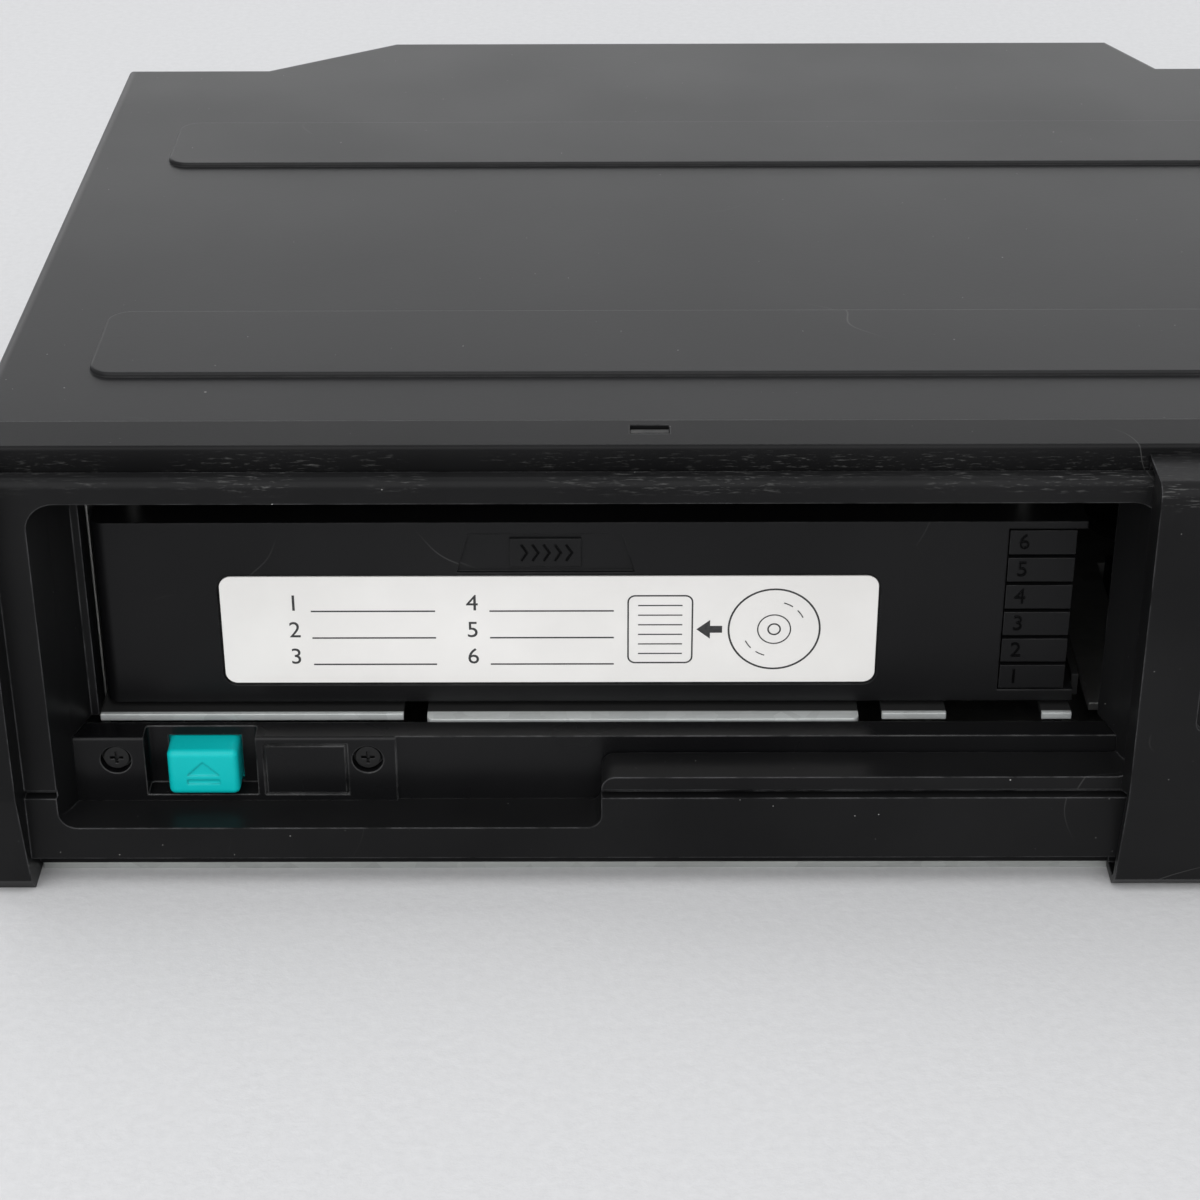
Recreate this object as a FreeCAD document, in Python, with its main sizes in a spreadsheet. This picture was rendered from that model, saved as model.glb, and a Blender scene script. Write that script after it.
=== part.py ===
import FreeCAD, Part
import itertools
import math
import os
import Sketcher

# Car disc changer: a steel case with a plastic front, a door of two sliding leaves, a magazine of
# six trays and the mechanism that plays one disc at a time.
# Row frame: +X to the right seen from the front, +Y to the back, +Z up, millimetres.
# The origin is at the middle of the base.

doc = FreeCAD.newDocument("car_disc_changer")
sheet = doc.addObject("Spreadsheet::Sheet", "Sizes")
Vector = FreeCAD.Vector


class Size:
    """A length that knows its value and the expression that gives it in the sheet."""

    def __init__(self, value, text):
        self.value = value
        self.text = text

    def join(self, other, sign, value):
        return Size(value, "(%s %s %s)" % (self.text, sign, text(other)))

    def __add__(self, other):
        return self.join(other, "+", self.value + number(other))

    def __sub__(self, other):
        return self.join(other, "-", self.value - number(other))

    def __mul__(self, other):
        return self.join(other, "*", self.value * number(other))

    def __truediv__(self, other):
        return self.join(other, "/", self.value / number(other))

    def __radd__(self, other):
        return Size(number(other) + self.value, "(%s + %s)" % (text(other), self.text))

    def __rsub__(self, other):
        return Size(number(other) - self.value, "(%s - %s)" % (text(other), self.text))

    def __rmul__(self, other):
        return Size(number(other) * self.value, "(%s * %s)" % (text(other), self.text))

    def __neg__(self):
        return Size(-self.value, "(0 - %s)" % self.text)


def number(item):
    return item.value if isinstance(item, Size) else float(item)


def text(item):
    return item.text if isinstance(item, Size) else repr(float(item))


def root(item):
    """The square root of a size."""
    return Size(math.sqrt(number(item)), "sqrt(%s)" % text(item))


def least(first, second):
    """The smaller of two sizes."""
    return Size(min(number(first), number(second)), "min(%s; %s)" % (text(first), text(second)))


rows = itertools.count(1)


def size(alias, value):
    """Write one driving dimension in the sheet and return it."""
    row = next(rows)
    sheet.set("A%d" % row, alias)
    sheet.set("B%d" % row, repr(float(value)))
    sheet.setAlias("B%d" % row, alias)
    return Size(float(value), "Sizes." + alias)


# ---------------------------------------------------------------- driving dimensions
# Case
case_width = size("case_width", 257.0)
case_depth = size("case_depth", 180.0)
case_height = size("case_height", 67.5)
cover_inset = size("cover_inset", 1.7)
cover_sheet = size("cover_sheet", 1.0)
cover_round = size("cover_round", 1.8)
cover_bottom = size("cover_bottom", 1.6)
cover_gap = size("cover_gap", 0.3)
rear_step = size("rear_step", 15.0)
rear_left_shoulder = size("rear_left_shoulder", 25.1)
rear_left_slope = size("rear_left_slope", 21.9)
rear_right_shoulder = size("rear_right_shoulder", 68.8)
rear_right_slope = size("rear_right_slope", 6.8)
panel_emboss = size("panel_emboss", 0.6)
panel_round = size("panel_round", 3.5)
panel_edge_round = size("panel_edge_round", 0.4)
panel_margin = size("panel_margin", 13.6)
front_panel_setback = size("front_panel_setback", 14.6)
front_panel_length = size("front_panel_length", 21.9)
rear_panel_setback = size("rear_panel_setback", 97.0)
rear_panel_length = size("rear_panel_length", 20.0)
pan_sheet = size("pan_sheet", 1.2)
pan_wall_height = size("pan_wall_height", 16.0)
pan_front_height = size("pan_front_height", 7.0)

# Front bezel
door_stand_off = size("door_stand_off", 5.5)
bezel_depth = size("bezel_depth", 12.5)
post_width = size("post_width", 6.2)
strip_drop = size("strip_drop", 0.3)
strip_depth = size("strip_depth", 8.0)
strip_round = size("strip_round", 0.5)
lip_drop = size("lip_drop", 3.1)
lip_round = size("lip_round", 1.3)
groove_width = size("groove_width", 1.8)
groove_depth = size("groove_depth", 1.2)
band_bottom = size("band_bottom", 5.3)
band_proud = size("band_proud", 0.5)
band_thickness = size("band_thickness", 2.5)
low_groove_roof = size("low_groove_roof", 8.0)
track_height = size("track_height", 15.3)
track_width = size("track_width", 1.0)
track_depth = size("track_depth", 1.3)
bezel_wall = size("bezel_wall", 2.2)
mouth_margin = size("mouth_margin", 10.7)
door_zone = size("door_zone", 96.7)
mouth_top_drop = size("mouth_top_drop", 6.5)
mouth_low = size("mouth_low", 10.4)
mouth_step = size("mouth_step", 8.0)
mouth_step_place = size("mouth_step_place", 75.8)
mouth_round = size("mouth_round", 2.5)
mouth_top_round = size("mouth_top_round", 4.0)
step_round = size("step_round", 2.0)
ledge_depth = size("ledge_depth", 6.5)
jamb_draft_front = size("jamb_draft_front", 1.6)
jamb_draft_back = size("jamb_draft_back", 1.8)
lining_gap = size("lining_gap", 0.8)
catch_place = size("catch_place", 90.4)
catch_slot_length = size("catch_slot_length", 5.3)
catch_slot_width = size("catch_slot_width", 2.7)
catch_setback = size("catch_setback", 3.8)
catch_slot_depth = size("catch_slot_depth", 4.0)
catch_thickness = size("catch_thickness", 1.0)

# Slot frame, its screws and the eject button
frame_top = size("frame_top", 20.9)
frame_thickness = size("frame_thickness", 4.2)
frame_gap = size("frame_gap", 0.15)
frame_round = size("frame_round", 0.5)
plate_step = size("plate_step", 0.4)
line_width = size("line_width", 0.35)
line_depth = size("line_depth", 0.3)
frame_line_left = size("frame_line_left", 28.2)
frame_line_length = size("frame_line_length", 11.9)
frame_line_margin = size("frame_line_margin", 0.7)
frame_seam_place = size("frame_seam_place", 46.9)
pocket_place = size("pocket_place", 11.5)
pocket_width = size("pocket_width", 15.7)
pocket_floor = size("pocket_floor", 1.1)
pocket_depth = size("pocket_depth", 3.3)
button_side_gap = size("button_side_gap", 3.2)
button_width = size("button_width", 10.0)
button_height = size("button_height", 7.2)
button_lift = size("button_lift", 0.5)
button_proud = size("button_proud", 1.0)
button_round = size("button_round", 0.9)
button_clearance = size("button_clearance", 0.2)
button_flange = size("button_flange", 0.8)
button_flange_thickness = size("button_flange_thickness", 0.6)
button_travel = size("button_travel", 1.5)
symbol_width = size("symbol_width", 4.6)
symbol_height = size("symbol_height", 2.2)
symbol_bar = size("symbol_bar", 0.7)
symbol_depth = size("symbol_depth", 0.2)
screw_one_place = size("screw_one_place", 7.4)
screw_two_place = size("screw_two_place", 42.9)
screw_height = size("screw_height", 17.3)
counterbore_radius = size("counterbore_radius", 2.2)
counterbore_depth = size("counterbore_depth", 1.7)
small_head_radius = size("small_head_radius", 1.75)
small_head_height = size("small_head_height", 1.1)
small_shank_radius = size("small_shank_radius", 0.95)
small_shank_length = size("small_shank_length", 3.3)
screw_clearance = size("screw_clearance", 0.05)
recess_width = size("recess_width", 0.45)
recess_length = size("recess_length", 1.9)
recess_depth = size("recess_depth", 0.7)
switch_width = size("switch_width", 7.0)
switch_height = size("switch_height", 6.0)
switch_depth = size("switch_depth", 3.0)
switch_plunger = size("switch_plunger", 1.4)

# Door
door_width = size("door_width", 91.8)
door_wall = size("door_wall", 1.4)
door_drop = size("door_drop", 1.5)
door_top_wall = size("door_top_wall", 0.9)
door_round = size("door_round", 2.0)
door_crease = size("door_crease", 18.2)
door_foot_height = size("door_foot_height", 2.5)
door_foot_setback = size("door_foot_setback", 3.5)
door_heel_setback = size("door_heel_setback", 5.5)
door_ground_gap = size("door_ground_gap", 0.5)
door_foot_wall = size("door_foot_wall", 1.2)
door_hook = size("door_hook", 0.8)
door_clearance = size("door_clearance", 0.15)
door_end_gap = size("door_end_gap", 0.3)
door_grip_place = size("door_grip_place", 8.0)
door_grip_width = size("door_grip_width", 13.0)
door_grip_height = size("door_grip_height", 22.0)
door_grip_low = size("door_grip_low", 29.0)
door_grip_depth = size("door_grip_depth", 0.8)
door_grip_small_round = size("door_grip_small_round", 1.5)
rear_leaf_width = size("rear_leaf_width", 72.0)
rear_leaf_place = size("rear_leaf_place", 9.8)
rear_leaf_sheet = size("rear_leaf_sheet", 1.0)
rear_leaf_gap = size("rear_leaf_gap", 1.4)
rear_leaf_flange = size("rear_leaf_flange", 0.45)
rear_leaf_hang = size("rear_leaf_hang", 0.7)
rear_leaf_clearance = size("rear_leaf_clearance", 0.1)
tongue_clearance = size("tongue_clearance", 0.2)

# Magazine
magazine_side_gap = size("magazine_side_gap", 5.3)
magazine_right_gap = size("magazine_right_gap", 6.8)
magazine_headroom = size("magazine_headroom", 10.3)
magazine_setback = size("magazine_setback", 2.0)
magazine_rear_zone = size("magazine_rear_zone", 30.0)
magazine_floor = size("magazine_floor", 22.0)
magazine_floor_sheet = size("magazine_floor_sheet", 1.8)
magazine_roof_sheet = size("magazine_roof_sheet", 1.1)
magazine_wall = size("magazine_wall", 2.0)
magazine_round = size("magazine_round", 2.0)
runner_width = size("runner_width", 4.0)
runner_gap = size("runner_gap", 0.15)
runner_inset = size("runner_inset", 4.0)
tray_count = 6
tray_gap = size("tray_gap", 0.6)
tray_floor_gap = size("tray_floor_gap", 0.3)
tray_web = size("tray_web", 0.9)
tray_end_gap = size("tray_end_gap", 0.4)
tray_right_gap = size("tray_right_gap", 1.4)
tray_left_gap = size("tray_left_gap", 2.5)
tray_well_clearance = size("tray_well_clearance", 0.6)
tray_side_rim = size("tray_side_rim", 5.8)
tray_end_rim = size("tray_end_rim", 2.6)
tray_window_radius = size("tray_window_radius", 23.0)
tray_window_width = size("tray_window_width", 32.0)
tab_width = size("tab_width", 9.2)
tab_gap = size("tab_gap", 0.2)
rib_depth = size("rib_depth", 1.4)
rib_clearance = size("rib_clearance", 0.12)
disc_hole_radius = size("disc_hole_radius", 7.5)
disc_thickness = size("disc_thickness", 1.2)
label_left = size("label_left", 17.0)
label_right = size("label_right", 28.0)
label_low = size("label_low", 2.8)
label_top = size("label_top", 8.2)
label_recess = size("label_recess", 0.35)
label_thickness = size("label_thickness", 0.25)
label_round = size("label_round", 2.0)
label_margin = size("label_margin", 0.3)
pad_low_width = size("pad_low_width", 24.7)
pad_top_width = size("pad_top_width", 21.2)
pad_height = size("pad_height", 6.0)
pad_gap = size("pad_gap", 0.4)
pad_recess = size("pad_recess", 0.5)
plate_width = size("plate_width", 9.9)
plate_height = size("plate_height", 4.4)
plate_proud = size("plate_proud", 0.35)

# Guide plate and chassis
guide_top = size("guide_top", 21.0)
guide_sheet = size("guide_sheet", 1.0)
guide_front_gap = size("guide_front_gap", 0.2)
guide_rear_gap = size("guide_rear_gap", 3.8)
guide_tongue_left = size("guide_tongue_left", 51.1)
guide_tongue_width = size("guide_tongue_width", 61.2)
guide_tongue_out = size("guide_tongue_out", 1.5)
guide_slit = size("guide_slit", 3.4)
guide_slit_depth = size("guide_slit_depth", 12.0)
guide_notch_left = size("guide_notch_left", 124.8)
guide_notch_width = size("guide_notch_width", 13.6)
guide_notch_depth = size("guide_notch_depth", 6.0)
guide_fence = size("guide_fence", 2.4)
fence_gap = size("fence_gap", 0.6)
chassis_sheet = size("chassis_sheet", 1.2)
chassis_floor = size("chassis_floor", 8.0)
chassis_side_gap = size("chassis_side_gap", 0.7)
chassis_front_gap = size("chassis_front_gap", 6.0)
chassis_rear_gap = size("chassis_rear_gap", 7.0)
chassis_right_gap = size("chassis_right_gap", 6.3)
chassis_top_gap = size("chassis_top_gap", 2.7)
chassis_window = size("chassis_window", 40.0)
damper_inset = size("damper_inset", 14.0)
damper_radius = size("damper_radius", 5.0)
spring_radius = size("spring_radius", 6.8)
spring_wire = size("spring_wire", 0.5)
spring_turns = 3.0
wire_sides = 8
leaf_spring_width = size("leaf_spring_width", 12.0)
leaf_spring_sheet = size("leaf_spring_sheet", 0.5)
leaf_spring_gap = size("leaf_spring_gap", 0.3)

# Lift and player
deck_floor = size("deck_floor", 17.0)
deck_sheet = size("deck_sheet", 1.2)
deck_left_gap = size("deck_left_gap", 3.6)
deck_front_gap = size("deck_front_gap", 7.5)
flange_height = size("flange_height", 9.0)
flange_cam_gap = size("flange_cam_gap", 1.8)
flange_low = size("flange_low", 4.0)
lift_margin = size("lift_margin", 3.5)
cam_front_gap = size("cam_front_gap", 4.5)
cam_sheet = size("cam_sheet", 1.2)
cam_wall_gap = size("cam_wall_gap", 1.3)
cam_margin = size("cam_margin", 4.5)
pin_radius = size("pin_radius", 1.5)
pin_clearance = size("pin_clearance", 0.15)
pin_height = size("pin_height", 16.5)
pin_reach = size("pin_reach", 28.0)
post_radius = size("post_radius", 2.0)
post_clearance = size("post_clearance", 0.08)
post_behind = size("post_behind", 3.6)
post_inset = size("post_inset", 8.0)
boss_radius = size("boss_radius", 4.0)
boss_height = size("boss_height", 6.0)
turntable_radius = size("turntable_radius", 14.0)
turntable_gap = size("turntable_gap", 0.4)
turntable_sheet = size("turntable_sheet", 2.2)
hub_height = size("hub_height", 2.3)
hub_clearance = size("hub_clearance", 0.25)
hub_taper = size("hub_taper", 1.2)
shaft_radius = size("shaft_radius", 1.0)
deck_shaft_hole = size("deck_shaft_hole", 4.0)
shaft_clearance = size("shaft_clearance", 0.05)
motor_radius = size("motor_radius", 12.0)
motor_height = size("motor_height", 6.0)
sled_width = size("sled_width", 24.0)
sled_length = size("sled_length", 12.0)
sled_low = size("sled_low", 12.6)
sled_top = size("sled_top", 20.0)
sled_start = size("sled_start", 24.0)
sled_rim = size("sled_rim", 12.0)
sled_gap = size("sled_gap", 1.0)
lens_radius = size("lens_radius", 3.2)
lens_proud = size("lens_proud", 1.6)
rod_radius = size("rod_radius", 1.2)
rod_clearance = size("rod_clearance", 0.06)
rod_inset = size("rod_inset", 3.0)
rod_height = size("rod_height", 15.0)
block_depth = size("block_depth", 3.0)
screw_offset = size("screw_offset", 17.0)
feed_screw_radius = size("feed_screw_radius", 1.4)
thread_depth = size("thread_depth", 0.4)
thread_pitch = size("thread_pitch", 2.5)
sled_motor_radius = size("sled_motor_radius", 4.4)
sled_motor_length = size("sled_motor_length", 14.0)
puller_width = size("puller_width", 9.0)
puller_depth = size("puller_depth", 8.0)
puller_travel = size("puller_travel", 66.0)
puller_inset = size("puller_inset", 11.6)
puller_slot = size("puller_slot", 3.0)
puller_side = size("puller_side", 3.0)
puller_clearance = size("puller_clearance", 0.15)
puller_height = size("puller_height", 3.6)
clamp_gap = size("clamp_gap", 0.7)
clamp_arm_gap = size("clamp_arm_gap", 0.3)
puck_radius = size("puck_radius", 13.0)
puck_thickness = size("puck_thickness", 2.6)
puck_neck = size("puck_neck", 4.0)
puck_cap = size("puck_cap", 6.0)
puck_cap_sheet = size("puck_cap_sheet", 1.0)
puck_clearance = size("puck_clearance", 0.1)
clamp_sheet = size("clamp_sheet", 1.8)
clamp_arm_width = size("clamp_arm_width", 20.0)
cam_headroom = size("cam_headroom", 12.4)
stud_radius = size("stud_radius", 1.2)
stud_one_ahead = size("stud_one_ahead", 9.0)
stud_one_rise = size("stud_one_rise", 21.5)
stud_two_behind = size("stud_two_behind", 15.0)
stud_two_rise = size("stud_two_rise", 5.5)
lift_pinion_radius = size("lift_pinion_radius", 5.0)
lift_pinion_clearance = size("lift_pinion_clearance", 0.05)
lift_motor_radius = size("lift_motor_radius", 4.4)
lift_motor_length = size("lift_motor_length", 19.0)
lift_motor_behind = size("lift_motor_behind", 18.0)
lift_saddle_width = size("lift_saddle_width", 7.0)

# Angle selectors, board and socket, screws and bracket holes
selector_back = size("selector_back", 6.0)
selector_height = size("selector_height", 36.0)
selector_disc = size("selector_disc", 14.5)
selector_sheet = size("selector_sheet", 1.3)
selector_gap = size("selector_gap", 0.3)
selector_arc = size("selector_arc", 11.0)
knob_radius = size("knob_radius", 1.8)
knob_clearance = size("knob_clearance", 0.3)
knob_length = size("knob_length", 2.5)
recess_side = size("recess_side", 34.0)
recess_side_depth = size("recess_side_depth", 0.4)
recess_side_round = size("recess_side_round", 4.0)
bracket_width = size("bracket_width", 24.0)
bracket_sheet = size("bracket_sheet", 1.2)
bracket_gap = size("bracket_gap", 0.25)
board_side_gap = size("board_side_gap", 7.5)
board_depth = size("board_depth", 17.0)
board_sheet = size("board_sheet", 1.6)
board_low = size("board_low", 8.0)
board_rear_gap = size("board_rear_gap", 0.8)
standoff_radius = size("standoff_radius", 2.5)
standoff_inset = size("standoff_inset", 5.0)
socket_place = size("socket_place", 14.0)
socket_height = size("socket_height", 25.5)
socket_radius = size("socket_radius", 8.0)
socket_bore = size("socket_bore", 6.6)
socket_length = size("socket_length", 12.0)
socket_floor = size("socket_floor", 2.0)
socket_clearance = size("socket_clearance", 0.3)
socket_flush = size("socket_flush", 0.1)
contact_radius = size("contact_radius", 0.6)
contact_ring = size("contact_ring", 3.6)
contact_length = size("contact_length", 4.0)
contact_count = 7
bracket_hole_radius = size("bracket_hole_radius", 2.0)
bracket_hole_spacing = size("bracket_hole_spacing", 80.0)
bracket_hole_height = size("bracket_hole_height", 9.0)
bracket_slot_length = size("bracket_slot_length", 10.0)
bracket_slot_width = size("bracket_slot_width", 6.4)
cover_screw_head = size("cover_screw_head", 2.8)
cover_screw_height = size("cover_screw_height", 1.5)
cover_screw_radius = size("cover_screw_radius", 1.4)
cover_screw_length = size("cover_screw_length", 4.0)
cover_screw_front_inset = size("cover_screw_front_inset", 11.0)
cover_screw_rear_inset = size("cover_screw_rear_inset", 14.0)
cover_screw_level = size("cover_screw_level", 11.5)
rear_screw_inset = size("rear_screw_inset", 12.8)

# How far a cut runs past a face, how far a piece bites into the one it joins, and the reach of a test
overshoot = size("overshoot", 1.0)
bite = size("bite", 0.01)
test_slack = 0.01
same_place = 1e-4
least_volume = 1e-6
quarter_turn = 90
full_turn = 360

# The numbers by which a sketch knows the ends and the centre of an edge
start_point, end_point, centre_point = 1, 2, 3
doc.recompute()


# ---------------------------------------------------------------- ways to make a piece
nodes = {}


def bind(item, path, value):
    item.setExpression(path, text(value))


def place(item, x, y, z):
    bind(item, "Placement.Base.x", x)
    bind(item, "Placement.Base.y", y)
    bind(item, "Placement.Base.z", z)


def box(name, x, y, z):
    """A block between two X, two Y and two Z values."""
    item = doc.addObject("Part::Box", name)
    bind(item, "Length", x[1] - x[0])
    bind(item, "Width", y[1] - y[0])
    bind(item, "Height", z[1] - z[0])
    place(item, x[0], y[0], z[0])
    return item


def rod(name, axis, centre, radius, span):
    """A round bar along X, Y or Z; centre is given in the other two axes, in X, Y, Z order."""
    item = doc.addObject("Part::Cylinder", name)
    bind(item, "Radius", radius)
    bind(item, "Height", span[1] - span[0])
    if axis == "X":
        item.Placement = FreeCAD.Placement(Vector(), FreeCAD.Rotation(Vector(0, 1, 0), quarter_turn))
        place(item, span[0], centre[0], centre[1])
    elif axis == "Y":
        item.Placement = FreeCAD.Placement(Vector(), FreeCAD.Rotation(Vector(1, 0, 0), -quarter_turn))
        place(item, centre[0], span[0], centre[1])
    else:
        place(item, centre[0], centre[1], span[0])
    return item


def fuse(name, *parts):
    item = doc.addObject("Part::MultiFuse", name)
    item.Shapes = list(parts)
    item.Refine = True
    return item


def common(name, *parts):
    item = doc.addObject("Part::MultiCommon", name)
    item.Shapes = list(parts)
    return item


def cut(name, base, *tools):
    item = doc.addObject("Part::Cut", name)
    item.Base = base
    item.Tool = tools[0] if len(tools) == 1 else fuse(name + "_tools", *tools)
    return item


def group(name, *parts):
    """Separate solids that share one node."""
    item = doc.addObject("Part::Compound", name)
    item.Links = list(parts)
    return item


def node(label, item):
    """Register a finished sub-part under the name of its file."""
    item.Label = label
    nodes[label] = item
    return item


class Body:
    """A PartDesign body built from sketches on its own origin planes."""

    planes = {"XY": "XY_Plane", "XZ": "XZ_Plane", "YZ": "YZ_Plane"}

    def __init__(self, name):
        self.name = name
        self.body = doc.addObject("PartDesign::Body", name)
        self.count = 0

    def feature(self, kind, word):
        self.count += 1
        return self.body.newObject(kind, "%s_%s_%d" % (self.name, word, self.count))

    def sketch(self, plane, start, outlines, shift=(0, 0)):
        """Closed outlines: lists of corners, or ("circle", u, v, radius)."""
        item = self.feature("Sketcher::SketchObject", "sketch")
        role = self.planes[plane]
        origin = [part for part in self.body.Origin.OriginFeatures if part.Role == role]
        item.AttachmentSupport = [(origin[0], "")]
        item.MapMode = "FlatFace"
        bind(item, "AttachmentOffset.Base.x", shift[0])
        bind(item, "AttachmentOffset.Base.y", shift[1])
        bind(item, "AttachmentOffset.Base.z", start)
        for outline in outlines:
            if outline[0] == "circle":
                self.circle(item, *outline[1:])
            else:
                self.polygon(item, outline)
        return item

    def fix(self, item, edge, point, u, v):
        """Hold a sketch point at its distance from the sketch's origin."""
        for kind, value in (("DistanceX", u), ("DistanceY", v)):
            index = item.addConstraint(Sketcher.Constraint(kind, -1, 1, edge, point, number(value)))
            bind(item, "Constraints[%d]" % index, value)

    def circle(self, item, u, v, radius):
        shape = Part.Circle(Vector(number(u), number(v), 0), Vector(0, 0, 1), number(radius))
        edge = item.addGeometry(shape, False)
        self.fix(item, edge, centre_point, u, v)
        index = item.addConstraint(Sketcher.Constraint("Radius", edge, number(radius)))
        bind(item, "Constraints[%d]" % index, radius)

    def polygon(self, item, corners):
        first = item.GeometryCount
        count = len(corners)
        points = [Vector(number(u), number(v), 0) for u, v in corners]
        for index in range(count):
            item.addGeometry(Part.LineSegment(points[index], points[(index + 1) % count]), False)
        for index in range(count):
            after = first + (index + 1) % count
            meeting = (first + index, end_point, after, start_point)
            item.addConstraint(Sketcher.Constraint("Coincident", *meeting))
        for index, (u, v) in enumerate(corners):
            self.fix(item, first + index, start_point, u, v)

    def extrude(self, kind, plane, span, outlines):
        """Pad or pocket between two places on the axis across the plane."""
        start = -span[1] if plane == "XZ" else span[0]
        if not isinstance(start, Size):
            start = float(start)
        profile = self.sketch(plane, start, outlines)
        item = self.feature("PartDesign::" + kind, kind.lower())
        item.Profile = profile
        bind(item, "Length", span[1] - span[0])
        profile.Visibility = False
        return item

    def pad(self, plane, span, *outlines):
        self.extrude("Pad", plane, span, outlines)
        return self

    def pocket(self, plane, span, *outlines):
        before = self.volume()
        item = self.extrude("Pocket", plane, span, outlines)
        item.Reversed = True
        if self.volume() >= before - least_volume:
            raise RuntimeError("a pocket of %s removes nothing" % self.name)
        return self

    def revolve(self, plane, shift, start, outline, axis="V_Axis"):
        profile = self.sketch(plane, start, [outline], shift)
        item = self.feature("PartDesign::Revolution", "revolution")
        item.Profile = profile
        item.ReferenceAxis = (profile, [axis])
        item.Angle = full_turn
        return self

    def volume(self):
        doc.recompute()
        return self.body.Shape.Volume

    def fillet(self, radius, wanted):
        """Round every edge whose two ends and middle pass a test."""
        doc.recompute()
        names = []
        for index, edge in enumerate(self.body.Shape.Edges):
            ends = [vertex.Point for vertex in edge.Vertexes]
            first, last = edge.ParameterRange
            middle = edge.valueAt((first + last) / 2)
            if all(wanted(point) for point in ends + [middle]):
                names.append("Edge%d" % (index + 1))
        if not names:
            raise RuntimeError("%s has no edge to round" % self.name)
        base = self.body.Tip
        item = self.feature("PartDesign::Fillet", "fillet")
        item.Base = (base, names)
        bind(item, "Radius", radius)
        return self


def rectangle(u, v):
    return [(u[0], v[0]), (u[1], v[0]), (u[1], v[1]), (u[0], v[1])]


def around(middle, width):
    """The two ends of a width about its middle."""
    return (middle - width / 2, middle + width / 2)


def near(value, *targets):
    return any(abs(value - number(target)) < same_place for target in targets)


def coil(name, centre, span, radius, wire, turns):
    """A spring standing along Z; its wire has a section of a few flat sides."""
    pitch = (number(span[1] - span[0]) - 2 * number(wire)) / turns
    base = number(span[0]) + number(wire)
    helix = Part.makeHelix(pitch, pitch * turns, number(radius))
    angles = [2 * math.pi * (index + 0.5) / wire_sides for index in range(wire_sides)]
    corners = [Vector(number(radius) + number(wire) * math.cos(angle), 0, number(wire) * math.sin(angle))
               for angle in angles]
    section = Part.makePolygon(corners + corners[:1])
    shape = Part.Wire(helix.Edges).makePipeShell([section], True, True)
    item = doc.addObject("Part::Feature", name)
    item.Shape = shape
    item.Placement = FreeCAD.Placement(Vector(number(centre[0]), number(centre[1]), base),
                                       FreeCAD.Rotation())
    return item


def screw(name, axis, centre, seat, outward, head, height, shank, length):
    """A pan-head screw; the head sits on the seat and the shank goes the other way."""
    if outward > 0:
        head_span = (seat, seat + height)
        shank_span = (seat - length, seat)
        slot_span = (seat + height - recess_depth, seat + height)
    else:
        head_span = (seat - height, seat)
        shank_span = (seat, seat + length)
        slot_span = (seat - height, seat - height + recess_depth)
    solid = fuse(name + "_solid", rod(name + "_head", axis, centre, head, head_span),
                 rod(name + "_shank", axis, centre, shank, shank_span))
    arms = []
    for turn, (wide, tall) in enumerate(((recess_length, recess_width), (recess_width, recess_length))):
        u = around(centre[0], wide)
        v = around(centre[1], tall)
        sides = {"X": (slot_span, u, v), "Y": (u, slot_span, v), "Z": (u, v, slot_span)}[axis]
        arms.append(box("%s_arm_%d" % (name, turn), *sides))
    return cut(name, solid, *arms)


# ---------------------------------------------------------------- places that several pieces share
half_width = case_width / 2
half_depth = case_depth / 2
door_front = -half_depth
front_face = door_front + door_stand_off
bezel_back = front_face + bezel_depth
cover_side = half_width - cover_inset
rear_left_side = cover_side - rear_left_shoulder
rear_left_mid = rear_left_side - rear_left_slope
rear_right_side = cover_side - rear_right_shoulder
rear_right_mid = rear_right_side - rear_right_slope
roof = case_height - panel_emboss
roof_under = roof - cover_sheet
side_rear = half_depth - rear_step
strip_top = case_height - strip_drop
strip_front = bezel_back - strip_depth
lip_top = case_height - lip_drop
groove_front = strip_front - groove_width
groove_floor = lip_top - groove_depth
rear_screw_place = cover_side - rear_screw_inset
cover_screw_places = (("front", bezel_back + cover_screw_front_inset),
                      ("back", side_rear - cover_screw_rear_inset))
band_front = front_face - band_proud
post_inner = half_width - post_width
mouth_left = mouth_margin - half_width
mouth_right = half_width - door_zone
mouth_top = case_height - mouth_top_drop
mouth_high = mouth_low + mouth_step
mouth_step_x = mouth_left + mouth_step_place
ledge_back = front_face + ledge_depth
frame_back = ledge_back + frame_thickness
door_top = case_height - door_drop
hook_back = strip_front - door_clearance
hook_front = hook_back - door_hook

magazine_left = mouth_left + magazine_side_gap
magazine_right = mouth_right - magazine_right_gap
magazine_width = magazine_right - magazine_left
magazine_front = bezel_back + magazine_setback
magazine_back = half_depth - magazine_rear_zone
tray_left = magazine_left + magazine_wall + tray_left_gap
tray_right = magazine_right - tray_right_gap
tray_front = magazine_front + magazine_wall + tray_end_gap
tray_back = magazine_back - magazine_wall - tray_end_gap
tray_first = magazine_floor + magazine_floor_sheet + tray_floor_gap
magazine_top = mouth_top - magazine_headroom
magazine_ceiling = magazine_top - magazine_roof_sheet
tray_pitch = (magazine_ceiling - tray_floor_gap - tray_first + tray_gap) / tray_count
tray_height = tray_pitch - tray_gap
disc_radius = least((tray_right - tray_left) / 2 - tray_side_rim,
                    (tray_back - tray_front) / 2 - tray_end_rim)
tray_well_radius = disc_radius + tray_well_clearance
lift_travel = tray_pitch * (tray_count - 1) + lift_margin
clamp_low = magazine_top + clamp_gap
disc_x = tray_right - tray_side_rim - disc_radius
disc_y = (tray_front + tray_back) / 2

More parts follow.
